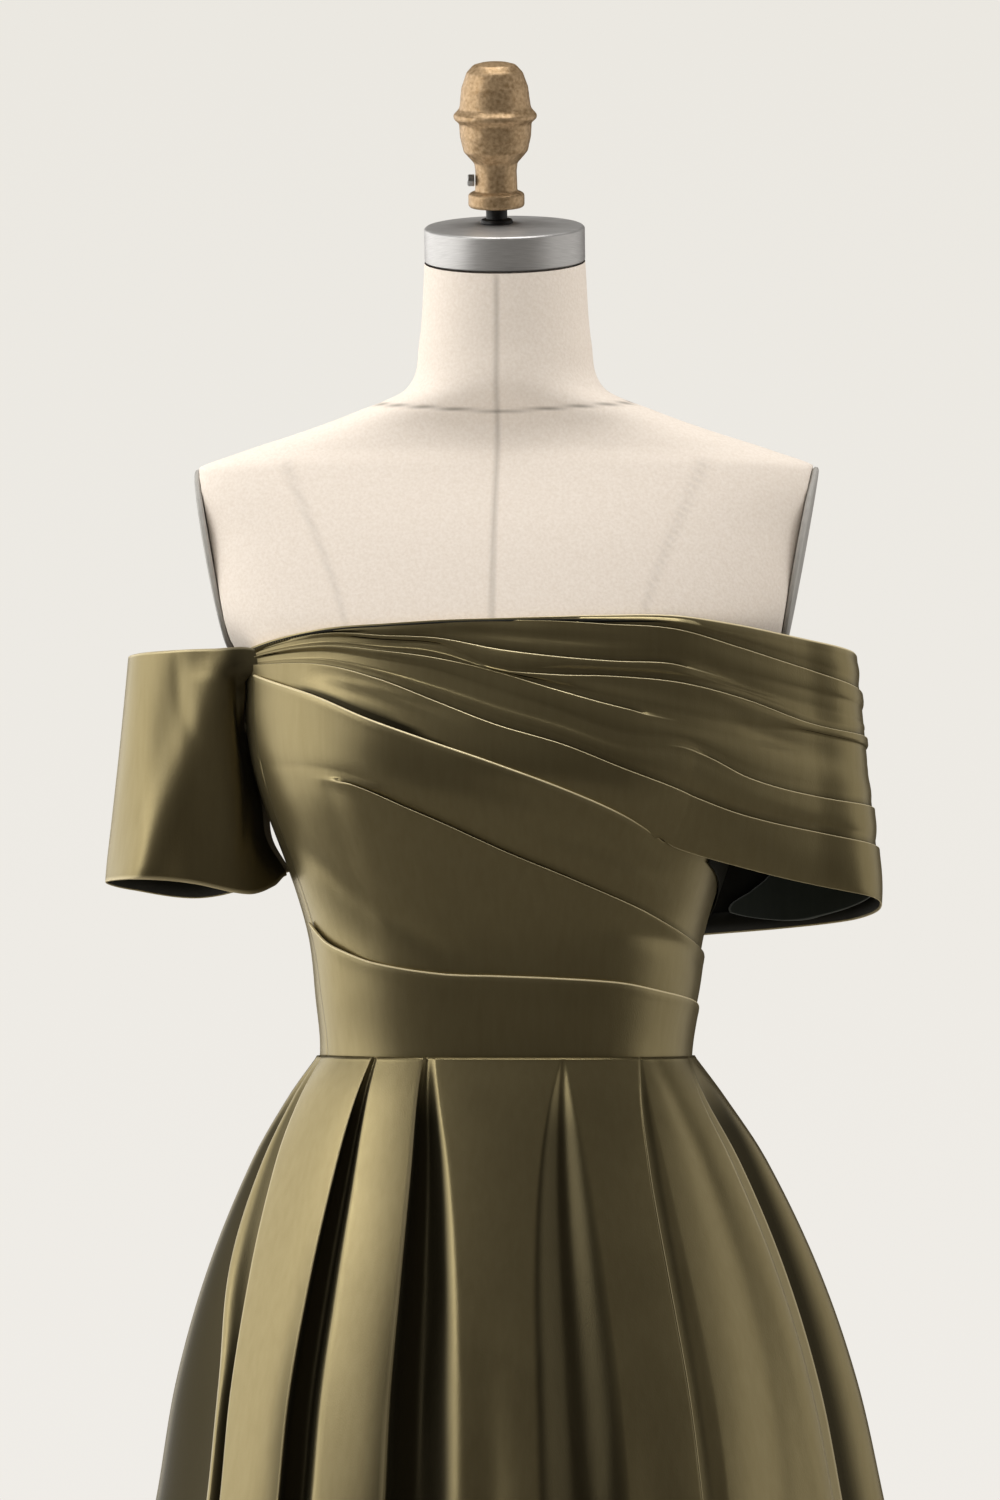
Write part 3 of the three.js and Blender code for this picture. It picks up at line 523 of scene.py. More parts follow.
# The rolled top edge, from its inside over to its outside: a height from the edge, a share of the cloth's
# rise there, a distance off the body in millimetres, and how much painted highlight it has
TOP_ROLL = rows_of(
    "down lift off pale",
    (-14, 0.3, -1.75, 0),
    (-6, 0.7, -1.9, 0),
    (-1.8, 1, -2.3, 0.4),
    (-0.4, 1, -2.0, 1),
    (0.0, 1, -1.0, 1),
    (-0.15, 1, -0.3, 1),
    (-0.7, 1, 0.05, 1),
    (-1.4, 1, 0.1, 0.1),
    (-4.5, 1, 0.05, 0),
)
ROOMY = 12
ARCHED = 30


def folded_cloth(edges, rises, counts, crown):
    """Rows of a folded cloth as heights, distances off the body, painted highlights and painted shade.
    edges and rises have a line for each folded edge; counts are the rows between one and the next. Folds
    under ROOMY apart are smaller, and the cloth between folds arches by crown where they are ARCHED apart."""
    high, off, pale, shade = [], [], [], []
    room = [np.abs(above - below) for above, below in zip(edges, edges[1:])]
    scale = np.clip(room[0] / ROOMY, 0.12, 1)
    for row in TOP_ROLL:
        outside = row["down"] > -4 and row["off"] > -1
        high.append(edges[0] + row["down"] * (scale if outside else 1))
        off.append(rises[0] * row["lift"] + row["off"] + 0 * scale)
        pale.append(row["pale"] + 0 * scale)
        shade.append(0 * scale)
    start = edges[0] + TOP_ROLL[-1]["down"] * scale
    for k in range(1, len(edges)):
        last = k == len(edges) - 1
        share = rises[k] / max(np.max(rises[k]), 1e-6)
        bend = smooth(0.5, 1, share)
        tight = np.clip(np.minimum(room[k - 1], room[min(k, len(room) - 1)]) / ROOMY, 0.06, 1)
        steps = counts[k - 1]
        end = edges[k] if last else edges[k] + FOLD[0]["down"] * tight
        for step in range(1, steps + 1):
            t = step / steps if last else step / (steps + 1)
            arch = crown * np.clip(room[k - 1] / ARCHED, 0, 1) * 4 * t * (1 - t)
            high.append(mix(start, end, t))
            off.append(mix(rises[k - 1], 0, t**0.8) + arch)
            pale.append(0 * tight)
            shade.append(0 * tight)
        if last:
            break
        for row in FOLD:
            high.append(edges[k] + tight * mix(row["flat"], row["down"], bend))
            off.append(rises[k] * row["off"])
            pale.append(row["pale"] * share * np.clip(tight * 1.6, 0, 1))
            shade.append(row["shade"] * bend)
        start = edges[k] + FOLD[-1]["down"] * tight
    return np.array(high), np.array(off), np.array(pale), np.array(shade)


# Soft troughs and ridges: each runs from a start to an end, given as along and z
def crease_rows(*rows, upright=False):
    return [{**row, "upright": upright} for row in rows_of("start end bow wide fade deep", *rows)]


def creases(table, along, z):
    """The creases of a table as a depth in millimetres, each a bowed line that fades at its ends."""
    depth = np.zeros(np.broadcast_shapes(np.shape(along), np.shape(z)))
    for row in table:
        a, b = zip(row["start"], row["end"])
        length, side, ends, sides = (z, along, b, a) if row["upright"] else (along, z, a, b)
        t = np.clip((length - ends[0]) / (ends[1] - ends[0]), 0, 1)
        line = mix(*sides, t) + row["bow"] * 4 * t * (1 - t)
        low, high, fade = min(ends), max(ends), row["fade"]
        inside = smooth(low - fade, low + fade, length) * (1 - smooth(high - fade, high + fade, length))
        depth = depth + row["deep"] * inside * bump(0, row["wide"], side - line)
    return depth


DRAPE_CREASES = crease_rows(
    ((-40, 272), (10, 262), 2, 4, 12, -1.2),
    ((-20, 276), (35, 268), 0, 4, 14, -1.6),
    ((-10, 270), (40, 263), 0, 3.5, 12, 0.8),
    ((20, 244), (58, 226), 3, 6, 14, -1.2),
    ((-48, 247), (-10, 222), 1, 5, 10, -1.4),
    ((56, 250), (84, 218), -4, 7, 8, -1.6),
    ((60, 216), (90, 186), -4, 6, 8, -1.4),
    ((54, 240), (76, 214), -2, 5, 8, 1.0),
    ((90, 246), (126, 240), -3, 6, 8, -1.2),
    ((88, 182), (126, 178), 2, 7, 8, -1.0),
)
DRAPE_OFF = 1.3
FADE_SWEEP = 16
# The drape's foot is tucked under on the body, and is hemmed from there on; the hem's roll has a painted
# highlight. Where it gapes, it has painted shade in a band above its foot.
FOOT_TUCK = {"from": 44, "to": 48, "deep": 6}
HEMMED = {"from": 48, "to": 53}
HEM_ROLL = ((-0.5, -0.2, 0.8), (-0.4, -0.9, 0.8), (0.6, -1.5, 0.2), (6, -1.7, 0), (14, -1.8, 0))
PAINTED_GAPE_SHADE = {"sweep": -34, "wide": 15, "high": 8.5}


def make_drape():
    on_body = np.linspace(SWEEPS[0], LEAVES, 190)
    sweep = np.concatenate([on_body, np.linspace(LEAVES, SWEEPS[-1], 111)[1:]])
    edges = [line(sweep) for line in drape_edges]
    rises = []
    for row in DRAPE:
        fading = 1 - smooth(row["to"] - FADE_SWEEP, row["to"], sweep)
        rises.append(row["rise"] * smooth(row["from"], row["from"] + FADE_SWEEP, sweep) * fading)
    foot = edges[-1]
    edges[-1] = foot - FOOT_TUCK["deep"] * (1 - smooth(FOOT_TUCK["from"], FOOT_TUCK["to"], sweep))
    z, off, pale, shade = folded_cloth(edges, rises, [6, 6, 6, 6, 6, 6, 9], 1.0)
    # Painted shade in a band above the foot where the drape gapes
    gape = PAINTED_GAPE_SHADE["high"] * bump(PAINTED_GAPE_SHADE["sweep"], PAINTED_GAPE_SHADE["wide"], sweep)
    gape_shade = smooth(0.5, 2, gape) * (1 - smooth(0.5 * gape, gape + 0.5, z - foot))
    shade = np.maximum(shade, gape_shade * (pale == 0))
    hem_off = off[-1]
    hemmed = smooth(HEMMED["from"], HEMMED["to"], sweep)
    for down, out, edge in HEM_ROLL:
        z = np.vstack([z, edges[-1] + down * mix(0.2, 1, hemmed)])
        off = np.vstack([off, hem_off + out])
        pale = np.vstack([pale, edge * hemmed])
        shade = np.vstack([shade, 0 * hemmed])
    off = off + creases(DRAPE_CREASES, sweep[None, :], z)
    x, y, nx, ny = drape_path(sweep[None, :] + 0 * z, z)
    out = DRAPE_OFF + off
    piece = grid_mesh("drape", x + nx * out, y + ny * out, z, SATIN, False, {"edge": pale, "shade": shade})
    rows = len(z) - 1
    # The drape's inside and its hem's turned-in rows take the satin in painted shade
    thicken(piece, FINE_CLOTH, SATIN_IN_PAINTED_SHADE, (rows - 2, rows - 1), len(sweep) - 1)
    settle(piece, "drape_front")


make_drape()

# Bodice: the front with one folded tuck, the waist band over its foot, the side panel and the backs
armhole_left = track([50, 54, 58, 64, 72, 80, 90], [141, 149, 157, 168, 196, 206, 210])
tuck_line = track([-69, -43, -23, 0, 23, 45, 60, 75, 90], [186, 180, 159, 136, 117, 98, 84, 73, 66])
band_edge = track([-69, -62, -56, -44, -22, 0, 22, 44, 60, 75, 90],
                  [88, 77, 71, 62, 55, 53.5, 52, 49, 43, 38, 33])
SIDE_SEAM_RIGHT = -69
SIDE_SEAM_LEFT = 90
BACK_SEAM_RIGHT = -100
UNDER_BAND = 6
PANEL_FOOT = -2


def front_top(deg):
    return np.where(deg <= 50, lower_edge(deg), armhole_left(deg))


FRONT_CREASES = crease_rows(
    ((-46, 180), (-30, 172), 0, 3, 5, 1.2),
    ((-58, 130), (-20, 70), -6, 9, 12, -1.2),
    ((10, 150), (50, 120), 2, 7, 12, -1.0),
    ((40, 84), (84, 60), 2, 7, 12, -1.0),
    ((-30, 190), (20, 160), 2, 10, 16, -0.8),
)


def place_on_body(name, deg, z, off, pale, shade, table=()):
    """A piece that lies on the body, from its grid of heights and distances off it."""
    off = off + creases(table, deg[None, :], z)
    x, y, nx, ny = body_ring(deg[None, :] + 0 * z, z)
    piece = grid_mesh(name, x + nx * off, y + ny * off, z, SATIN, False, {"edge": pale, "shade": shade})
    return thicken(piece, FINE_CLOTH)


def make_bodice_front():
    deg = np.linspace(SIDE_SEAM_RIGHT, SIDE_SEAM_LEFT, 240)
    under_drape = 2.6 * (1 - smooth(36, 50, deg))
    under_armhole = 3.2 * smooth(-70, -52, deg) * (1 - smooth(-36, -16, deg))
    edges = [front_top(deg), tuck_line(deg), band_edge(deg) - UNDER_BAND]
    rises = [under_drape + under_armhole, 3.0 * smooth(-46, -38, deg), 0 * deg]
    z, off, pale, shade = folded_cloth(edges, rises, [22, 22], 0.6)
    # The top roll's painted highlight fades out towards the left sleeve
    pale[:len(TOP_ROLL)] *= 1 - smooth(30, 46, deg)
    piece = place_on_body("bodice_cloth", deg, z, WALL + off, pale, shade, FRONT_CREASES)
    settle(piece, "bodice_front")


make_bodice_front()


def make_waist_band():
    deg = np.linspace(SIDE_SEAM_RIGHT, SIDE_SEAM_LEFT, 220)
    edges = [band_edge(deg), 0 * deg + PANEL_FOOT]
    rises = [2.8 + 1.4 * bump(-58, 7, deg), 0 * deg]
    z, off, pale, shade = folded_cloth(edges, rises, [20], 0.4)
    piece = place_on_body("band_cloth", deg, z, WALL + off, pale, shade)
    settle(piece, "waist_band")


make_waist_band()

right_armhole = track([-100, -95, -90, -85, -80, -76, -72, -69], [226, 219, 216, 231, 244, 250.5, 251, 249.3])
back_top_left = track([90, 100, 118, 140, 180], [210, 220, 238, 245, 246])
back_top_right = track([-180, -140, -118, -100], [246, 245, 240, 226])


def side_top(deg):
    return np.minimum(right_armhole(deg), np.where(deg > -76, lower_edge(deg), 1000))


def plain_panel(name, node, start, end, top, table):
    """A bodice panel with a rolled top edge, plain down to the waist seam."""
    deg = np.linspace(start, end, max(40, int(abs(end - start) * 1.3)))
    edges = [top(deg), 0 * deg + PANEL_FOOT]
    z, off, pale, shade = folded_cloth(edges, [0 * deg, 0 * deg], [46], 0)
    seam = 0.5 * bump(0, 0.7, np.minimum(deg - start, end - deg)[None, :])
    piece = place_on_body(name, deg, z, WALL + off - seam, pale, shade, table)
    settle(piece, node)


SIDE_CREASES = crease_rows(
    ((-92, 200), (-82, 60), 2, 2.5, 20, -0.8),
    ((-76, 180), (-80, 40), -1, 2, 20, -0.7),
    upright=True,
)
BACK_CREASES = crease_rows(
    ((112, 150), (160, 120), 3, 8, 16, -1.0),
    ((104, 70), (150, 40), -3, 6, 16, -0.9),
    ((130, 40), (172, 22), 2, 5, 14, -0.8),
) + crease_rows(
    ((132, 226), (138, 10), 1, 0.5, 6, -0.5),
    upright=True,
)
RIGHT_BACK_CREASES = [
    {**row, "start": (-row["start"][0], row["start"][1]), "end": (-row["end"][0], row["end"][1])}
    for row in BACK_CREASES
]
plain_panel("side_cloth", "side_panel_right", BACK_SEAM_RIGHT, SIDE_SEAM_RIGHT, side_top,
            SIDE_CREASES)
plain_panel("back_left_cloth", "bodice_back_left", SIDE_SEAM_LEFT, 180, back_top_left,
            BACK_CREASES)
plain_panel("back_right_cloth", "bodice_back_right", -180, BACK_SEAM_RIGHT, back_top_right,
            RIGHT_BACK_CREASES)

# The right sleeve: a plain tube, one plan curve at each height
SLEEVE_CLEAR = WALL + 2.6
SLEEVE_TUCK = -1.2
RIGHT_SLEEVE = rows_of(
    "x y cuff_x cuff_y",
    (-182, -55, -168, -30),
    (-212, -47, -204, -43),
    (-239, -29, -236, -50),
    (-249, 0, -263, -14),
    (-238, 34, -252, 32),
    (-204, 52, -204, 50),
)
RIGHT_JOINS = {"front": -74, "front_low": -87, "back": -116, "back_low": -98}
INNER_SHARE = 0.3
right_top = track([0, 0.06, 0.12, 0.2, 0.26, 0.3, 0.42, 0.62, 0.85, 1],
                  [242, 226, 220, 225, 250, 265.5, 267, 265, 260, 242])
right_cuff = track([0, 0.15, 0.3, 0.34, 0.4, 0.5, 0.6, 0.7, 0.8, 0.9, 1],
                   [122, 122, 119, 112, 106.5, 113.5, 116, 114.5, 110, 105, 122])


def right_sleeve_point(t, z):
    """Share t runs along the body from the back join to the front one, then round the outside."""
    tucked = smooth(244, 256, z)
    front = mix(RIGHT_JOINS["front_low"], RIGHT_JOINS["front"], smooth(185, 240, z)) + 6 * tucked
    back = mix(RIGHT_JOINS["back_low"], RIGHT_JOINS["back"], smooth(200, 252, z))
    clear = SLEEVE_CLEAR + 6 * bump(143, 17, z)
    near = np.clip(t / INNER_SHARE, 0, 1)
    lift = mix(clear, SLEEVE_TUCK, tucked * smooth(0.6, 1, near))
    x, y, nx, ny = body_ring(mix(back, front, near), z)
    inside = (x + nx * lift, y + ny * lift, -nx, -ny)
    points = [ring_point(front, z, mix(clear, SLEEVE_TUCK, tucked))]
    points += [plan_point(row, z) for row in RIGHT_SLEEVE]
    points += [ring_point(back, z, clear)]
    x, y, nx, ny = curve(points, np.clip((t - INNER_SHARE) / (1 - INNER_SHARE), 0, 1))
    outside = (x, y, -nx, -ny)
    return [np.where(t < INNER_SHARE, a, b) for a, b in zip(inside, outside)]


SLEEVE_CREASES = crease_rows(
    ((0.40, 262), (0.6, 108), 0, 0.055, 16, 5.5),
    ((0.5, 262), (0.47, 200), 0.01, 0.02, 14, -0.8),
    ((0.36, 240), (0.4, 130), -0.015, 0.02, 30, -2.2),
    ((0.86, 240), (0.82, 130), 0.02, 0.025, 24, -1.8),
    ((0.74, 200), (0.7, 110), 0.01, 0.03, 24, 1.0),
    upright=True,
)
# The rolled edges of the tube: how far in from the edge, how far off the cloth's face, and how much painted
# highlight
SLEEVE_TOP_ROLL = ((14, -1.7, 0), (5, -1.6, 0), (0.8, -1.3, 0.2), (0, -0.6, 0.8), (0.5, -0.1, 0.6))
CUFF_ROLL = ((0.6, -0.1, 0.6), (0, -0.6, 0.8), (0.8, -1.2, 0.2), (8, -1.6, 0), (22, -1.7, 0))
SLEEVE_ROWS = 48


def make_right_sleeve():
    inner = np.linspace(0, INNER_SHARE, 70)
    outer = np.linspace(INNER_SHARE, 1, 150)[1:-1]
    t = np.concatenate([inner, outer])[::-1]
    top, cuff = right_top(t), right_cuff(t)
    levels = [(top - inward, out, pale) for inward, out, pale in SLEEVE_TOP_ROLL]
    levels += [(mix(top - 2, cuff + 3, k / (SLEEVE_ROWS - 1)), 0, 0) for k in range(SLEEVE_ROWS)]
    levels += [(cuff + inward, out, pale) for inward, out, pale in CUFF_ROLL]
    z = np.array([level[0] for level in levels])
    off = np.array([level[1] + 0 * t for level in levels])
    pale = np.array([level[2] + 0 * t for level in levels])
    t = t[None, :] + 0 * z
    off = off + WALL + creases(SLEEVE_CREASES, t, z)
    x, y, nx, ny = right_sleeve_point(t, z)
    # Painted highlight on the rolled edges, and painted shade along the body side and just past the front
    # join
    marks = {"edge": pale, "shade": 0.75 * (1 - smooth(0.36, 0.44, t))}
    piece = grid_mesh("right_sleeve_cloth", x + nx * off, y + ny * off, z, SATIN, True, marks)
    rows = len(z) - 1
    # The tube's inside and its turned-in edge rows take the satin in painted shade
    thicken(piece, FINE_CLOTH, SATIN_IN_PAINTED_SHADE, (0, 1, rows - 2, rows - 1), t.shape[1])
    settle(piece, "sleeve_right")


make_right_sleeve()

# Inside the left sleeve: its inner wall against the body, and the lining of its back wall
UNDER_OFF = WALL + 2.4
under_top = track([66, 80, 90, 112], [160, 204, 212, 228])
under_foot = track([66, 90, 112], [127, 104, 83])
LINED = {"gap": 2.6, "from": 86, "to": 124, "top": 200}
lined_foot = track([86, 105, 114, 119, 122, 124], [117, 100.3, 91.5, 89.5, 91, 95])
lined_end = track([89, 93, 100, 110, 121, 130], [121, 124, 124.6, 122, 119.5, 119])


def make_left_wall():
    deg = np.linspace(67, 112, 60)[None, :]
    down = np.linspace(0, 1, 40)[:, None]
    z = mix(under_top(deg), under_foot(deg), down)
    x, y, nx, ny = body_ring(deg + 0 * z, z)
    # The inner wall takes the satin in painted shade
    under = grid_mesh("left_under_cloth", x + nx * UNDER_OFF, y + ny * UNDER_OFF, z, SATIN_IN_PAINTED_SHADE)
    thicken(under)
    settle(under, "sleeve_left_under")


def make_left_lining():
    along = np.append(np.linspace(0, 0.992, 90), 1)[None, :]
    down = np.append(np.linspace(0, 0.99, 50), 1)[:, None]
    z = mix(LINED["top"], lined_foot(mix(LINED["from"], LINED["to"], along)), down)
    sweep = mix(LINED["from"], lined_end(z), along)
    seam = np.maximum(along == 1, down == 1).astype(float)
    x, y, nx, ny = drape_path(sweep, z)
    off = -LINED["gap"]
    lining = grid_mesh("left_lining_cloth", x + nx * off, y + ny * off, z, LINING, False, {"edge": seam})
    thicken(lining)
    settle(lining, "sleeve_left_lining")


make_left_wall()
make_left_lining()


# Skirt rings by height: x of the middle, half width, depth in front and behind, and how square the ring is
SKIRT = rows_of(
    "z middle half front back power",
    (HEM, 14, 385, 325, 352, 2),
    (-640, 12, 312, 258, 278, 2),
    (HIP, 9, 240, 188, 202, 2),
    (-214, 6.8, 224.5, 168, 178, 2),
    (-140, 4.6, 201.5, 146, 152, 2),
    (-68, 2.2, 169.5, 121, 122, 2.1),
    (-26, 0.4, 143.5, 105, 103, 2.3),
    (0, 0, 124.5, 93.5, 90.5, 2.5),
)
skirt_middle = column(SKIRT, "z", "middle")
skirt_half = column(SKIRT, "z", "half")
skirt_front = column(SKIRT, "z", "front")
skirt_back = column(SKIRT, "z", "back")
skirt_power = column(SKIRT, "z", "power")

# Pleats: the angle of each folded edge at the waist and from the hip down, how fast it gets there and how
# far it bows, how wide its valley is at the waist (slim) and below (wide, or 0 to reach the edge before), how
# deep at the waist, hip and hem, the side the valley lies on, how far the edge overhangs it (0 for a soft
# one), how wide a second edge is, how much painted highlight the edge has, how much painted shade the
# valley has and how much of it, and how much painted shade lies on the edge's soft roll
PLEATS = rows_of(
    "waist hip settle bow slim wide deep lap over second pale dark reach roll",
    (-75, -52, 150, -4, 4, 33, (1, 26, 44), -1, 5, 0, 0.6, 1, 1.1, 0),
    (-70, -50, 110, 0, 0, 0, (1, 11, 30), -1, 5, 0, 0.4, 0.85, 0.9, 0),
    (-37, -38, 60, 0, 3, 7.5, (2, 18, 44), 1, 5, 0, 0.3, 1, 0.9, 0.7),
    (-18, -19, 110, 0, 4, 14, (2, 22, 52), 1, 4, 0, 0.35, 1, 0.95, 0.7),
    (14, 5, 60, 0, 2, 14.5, (0, 13, 42), 1, 0, 0, 0, 0.8, 1.12, 0),
    (42.5, 32, 35, 0, 1.5, 5, (0.5, 2.5, 9), 1, 3, 0, 0.7, 0.5, 0.5, 0),
    (76, 60.3, 15, 0, 12, 27, (1.5, 24, 48), 1, 5, 12.5, 0.6, 1, 0.8, 0),
    (112, 106, 60, 0, 3, 12, (2, 18, 45), 1, 5, 0, 0.4, 0.85, 0.75, 0.3),
    (134, 128, 60, 0, 3, 10, (2, 16, 40), 1, 5, 0, 0.4, 0.85, 0.75, 0.3),
    (155, 150, 60, 0, 4, 13, (2, 20, 50), 1, 4, 0, 0.4, 0.85, 0.75, 0.3),
    (205, 209, 60, 0, 4, 12, (2, 19, 48), -1, 4, 0, 0.4, 0.85, 0.75, 0.3),
    (227, 233, 60, 0, 3, 11, (2, 17, 42), -1, 5, 0, 0.4, 0.85, 0.75, 0.3),
    (249, 256, 60, 0, 3, 12, (1.5, 18, 44), -1, 5, 0, 0.4, 0.85, 0.75, 0.3),
)
FOLD_BOTTOM = 0.3
BOTTOM_SHARES = np.linspace(0, FOLD_BOTTOM, 15)
VALLEY_SHARES = np.concatenate([BOTTOM_SHARES, np.linspace(FOLD_BOTTOM, 1, 17)[1:]])
SECOND_SHARES = np.linspace(0, 1, 9)[:-1]
SECOND_DEEP = 2.2
SECOND_UNDER = 1.2
ROLL_WIDE = 3
# How far below the waist each of these has taken its full form
DEEP_SETTLE = 90
SHADE_SETTLE = 90
OVER_SETTLE = 60
SECOND_SETTLE = 40
HIGHLIGHT_SETTLE = 25


def below_waist(settle_length, z):
    """From 0 at the waist to 1 well below it."""
    return 1 - np.exp(z / settle_length)


def pleat_edge(row, z):
    return mix(row["hip"], row["waist"], np.exp(z / row["settle"])) + row["bow"] * bump(-110, 70, z)


def pleat_wide(row, z, edge, before):
    """How wide a pleat's valley is in degrees, given its own edge and the edge before it."""
    if not row["wide"]:
        return np.maximum(edge - before - 0.4, 1.2)
    return mix(row["wide"], row["slim"], np.exp(z / row["settle"]))


def pleat_deep(row, z):
    waist, hip, hem = row["deep"]
    return mix(hip, waist, np.exp(z / DEEP_SETTLE)) + (hem - hip) * np.clip((HIP - z) / (HIP - HEM), 0, 1)


def valley(t, soft):
    if soft:
        return np.sin(np.pi * t) ** 2
    return smooth(0, FOLD_BOTTOM, t) * (1 - smooth(FOLD_BOTTOM, 1, t))


def valley_shade(row, t, deep, z):
    """How much painted shade a valley has at a share of its width: all of it near the waist, up to its reach
    lower down.
    """
    reach = mix(row["reach"], 1, np.exp(z / SHADE_SETTLE))
    inside = smooth(0, 0.08, t) * (1 - smooth(reach - 0.25, reach + 0.01, t))
    return row["dark"] * mix(0.9, 1, t) * inside * smooth(0.05, 0.45, deep / row["deep"][1])


def skirt_ring(deg, z):
    turn = np.radians(deg)
    half = skirt_half(z)
    depth = np.where(np.cos(turn) >= 0, skirt_front(z), skirt_back(z))
    share = 2 / skirt_power(z)
    x = half * np.sign(np.sin(turn)) * np.abs(np.sin(turn)) ** share
    y = -depth * np.sign(np.cos(turn)) * np.abs(np.cos(turn)) ** share
    size = np.hypot(x / half**2, y / depth**2)
    return x + skirt_middle(z), y, x / half**2 / size, y / depth**2 / size


SKIRT_CREASES = crease_rows(
    ((50, -20), (46, -330), 1, 4, 60, -3.0),
    ((58, -120), (56, -600), 0, 3, 80, 2.5),
    ((-60, -200), (-66, -900), 0, 4, 90, -6),
    ((-2, -260), (-3, -1000), 0, 3, 120, -6),
    ((24, -330), (25, HEM), 0, 4, 150, -7),
    ((-40, -360), (-41, HEM), 0, 3, 140, -6),
    ((78, -300), (80, HEM), 0, 5, 120, -8),
    ((120, -260), (120, HEM), 0, 4, 120, -7),
    ((172, -200), (173, HEM), 0, 4, 120, -6),
    ((220, -260), (221, HEM), 0, 4, 120, -7),
    ((262, -220), (264, HEM), 0, 3, 120, -5),
    upright=True,
)
# The turned-in hem: a height above it and how far inside the cloth
HEM_INSIDE = ((0.6, 1.0), (9, 1.3), (24, 1.4))


def pleat_columns(row, z, edge, before):
    """Columns across one pleat, as angles, depths, painted highlights and painted shade: those of its second
    edge, where it has one, then from its folded edge through the valley."""
    degree = np.radians(1) * skirt_front(z)
    deep = pleat_deep(row, z)
    wide = pleat_wide(row, z, edge, before)
    over = row["over"] / degree * below_waist(OVER_SETTLE, z)
    second = row["second"] / degree * below_waist(SECOND_SETTLE, z)
    ledge = SECOND_DEEP * below_waist(SECOND_SETTLE, z) if row["second"] else 0
    under = SECOND_UNDER / degree * below_waist(SECOND_SETTLE, z)
    columns = []
    for t in SECOND_SHARES if row["second"] else ():
        angle = edge + row["lap"] * (t * second - under * np.sin(np.pi * smooth(0, 0.45, t)))
        columns.append((angle, ledge * smooth(0, 0.3, t), bump(0, 0.08, t), 0))
    for t in VALLEY_SHARES:
        lapped = over * np.sin(np.pi * min(t / (FOLD_BOTTOM * 1.15), 1)) ** 2
        angle = edge + row["lap"] * (second + t * (wide - second) - lapped)
        depth = deep * valley(t, not row["over"]) + ledge * (1 - smooth(FOLD_BOTTOM, 1, t))
        columns.append((angle, depth, bump(0, 0.03, t), valley_shade(row, t, deep, z)))
    if row["lap"] < 0:
        columns.reverse()
    return columns


def skirt_grid(pleats, start, end, z):
    """Angles, depths, painted highlights and painted shade of a panel's columns, from seam to seam over its
    pleats.
    """
    first, last = np.full_like(z, start), np.full_like(z, end)
    columns = [(first, 0 * z, 0 * z, 0 * z)]

    def cross(target):
        left = columns[-1][0]
        steps = int(max(4, np.max(target - left) / 1.1))
        parts = steps if target is last else steps + 1
        for k in range(1, steps + 1):
            columns.append((mix(left, target, k / parts), 0 * z, 0 * z, 0 * z))

    before = first
    for row in pleats:
        edge = pleat_edge(row, z)
        pleat = pleat_columns(row, z, edge, before)
        fading = row["pale"] * below_waist(HIGHLIGHT_SETTLE, z) * mix(0.35, 1, np.exp((z + 40) / 160))
        cross(pleat[0][0])
        for angle, depth, pale, shade in pleat:
            columns.append((angle, depth + 0 * z, pale * fading, shade + 0 * z))
        before = edge
    cross(last)
    return [np.hstack(part) for part in zip(*columns)]


def skirt_panel(name, node, start, end):
    """One skirt panel: its columns follow each pleat down, over the folded edge and through its valley."""
    levels = np.concatenate([
        np.linspace(0.5, -60, 34),
        np.linspace(-63, HIP, 50)[1:],
        np.linspace(HIP, HEM, 46)[1:],
    ])
    z = levels[:, None]
    pleats = [row for row in PLEATS if start < row["hip"] < end]
    deg, depth, pale, shade = skirt_grid(pleats, start, end, z)
    # Painted shade where a panel rolls under next to a folded edge
    for row in pleats:
        beside = row["lap"] * (pleat_edge(row, z) - deg)
        roll = row["roll"] * bump(0, ROLL_WIDE, beside) * (beside > 0) * (depth < 0.01)
        shade = np.maximum(shade, roll * smooth(-40, -260, z))
    high = z + 0 * deg
    off = creases(SKIRT_CREASES, deg, high) * (1 - smooth(0, 12, depth)) - depth
    x, y, nx, ny = skirt_ring(deg, high)
    x, y = x + nx * off, y + ny * off
    normal = grid_normals(x, y, high)
    for up, inward in HEM_INSIDE:
        at = np.argmin(np.abs(levels - (HEM + up)))
        x = np.vstack([x, x[at] - inward * normal[at, :, 0]])
        y = np.vstack([y, y[at] - inward * normal[at, :, 1]])
        high = np.vstack([high, 0 * high[0] + HEM + up])
        pale = np.vstack([pale, 0 * pale[0]])
        shade = np.vstack([shade, shade[-1]])
    piece = grid_mesh(name, x, y, high, SATIN, False, {"edge": np.clip(pale, 0, 1), "shade": shade})
    thicken(piece, SKIRT_CLOTH)
    settle(piece, node)


skirt_panel("skirt_front_cloth", "skirt_front", -90, 90)
skirt_panel("skirt_back_left_cloth", "skirt_back_left", 90, 180)
skirt_panel("skirt_back_right_cloth", "skirt_back_right", 180, 270)


# Turned pieces, from a profile of radius and height
DENT_RADIUS = 25


def turned(name, profile, segments, looks, place=(0, 0, 0), tilt=0.0, rough=0.0, seed=0):
    """A piece turned about its own axis, leant back and set in its place. rough is how deep its dents are,
    in millimetres at DENT_RADIUS."""
    radius, height = (np.array(part, float)[::-1, None] for part in zip(*profile))
    turn = np.linspace(0, 2 * np.pi, segments, endpoint=False)
    x, y = radius * np.sin(turn), -radius * np.cos(turn)
    z = height + 0 * x
    if rough:
        dents = np.random.default_rng(seed).normal(size=(len(radius), segments))
        for axis in (0, 1):
            dents = (dents + np.roll(dents, 1, axis) + np.roll(dents, -1, axis)) / 2
        swell = 1 + rough * dents * (radius > 2) / DENT_RADIUS
        x, y = x * swell, y * swell
    angle = math.radians(tilt)
    high = z * math.cos(angle) + y * math.sin(angle)
    back = y * math.cos(angle) - z * math.sin(angle)
    return grid_mesh(name, x + place[0], back + place[1], high + place[2] - WAIST, looks, True)


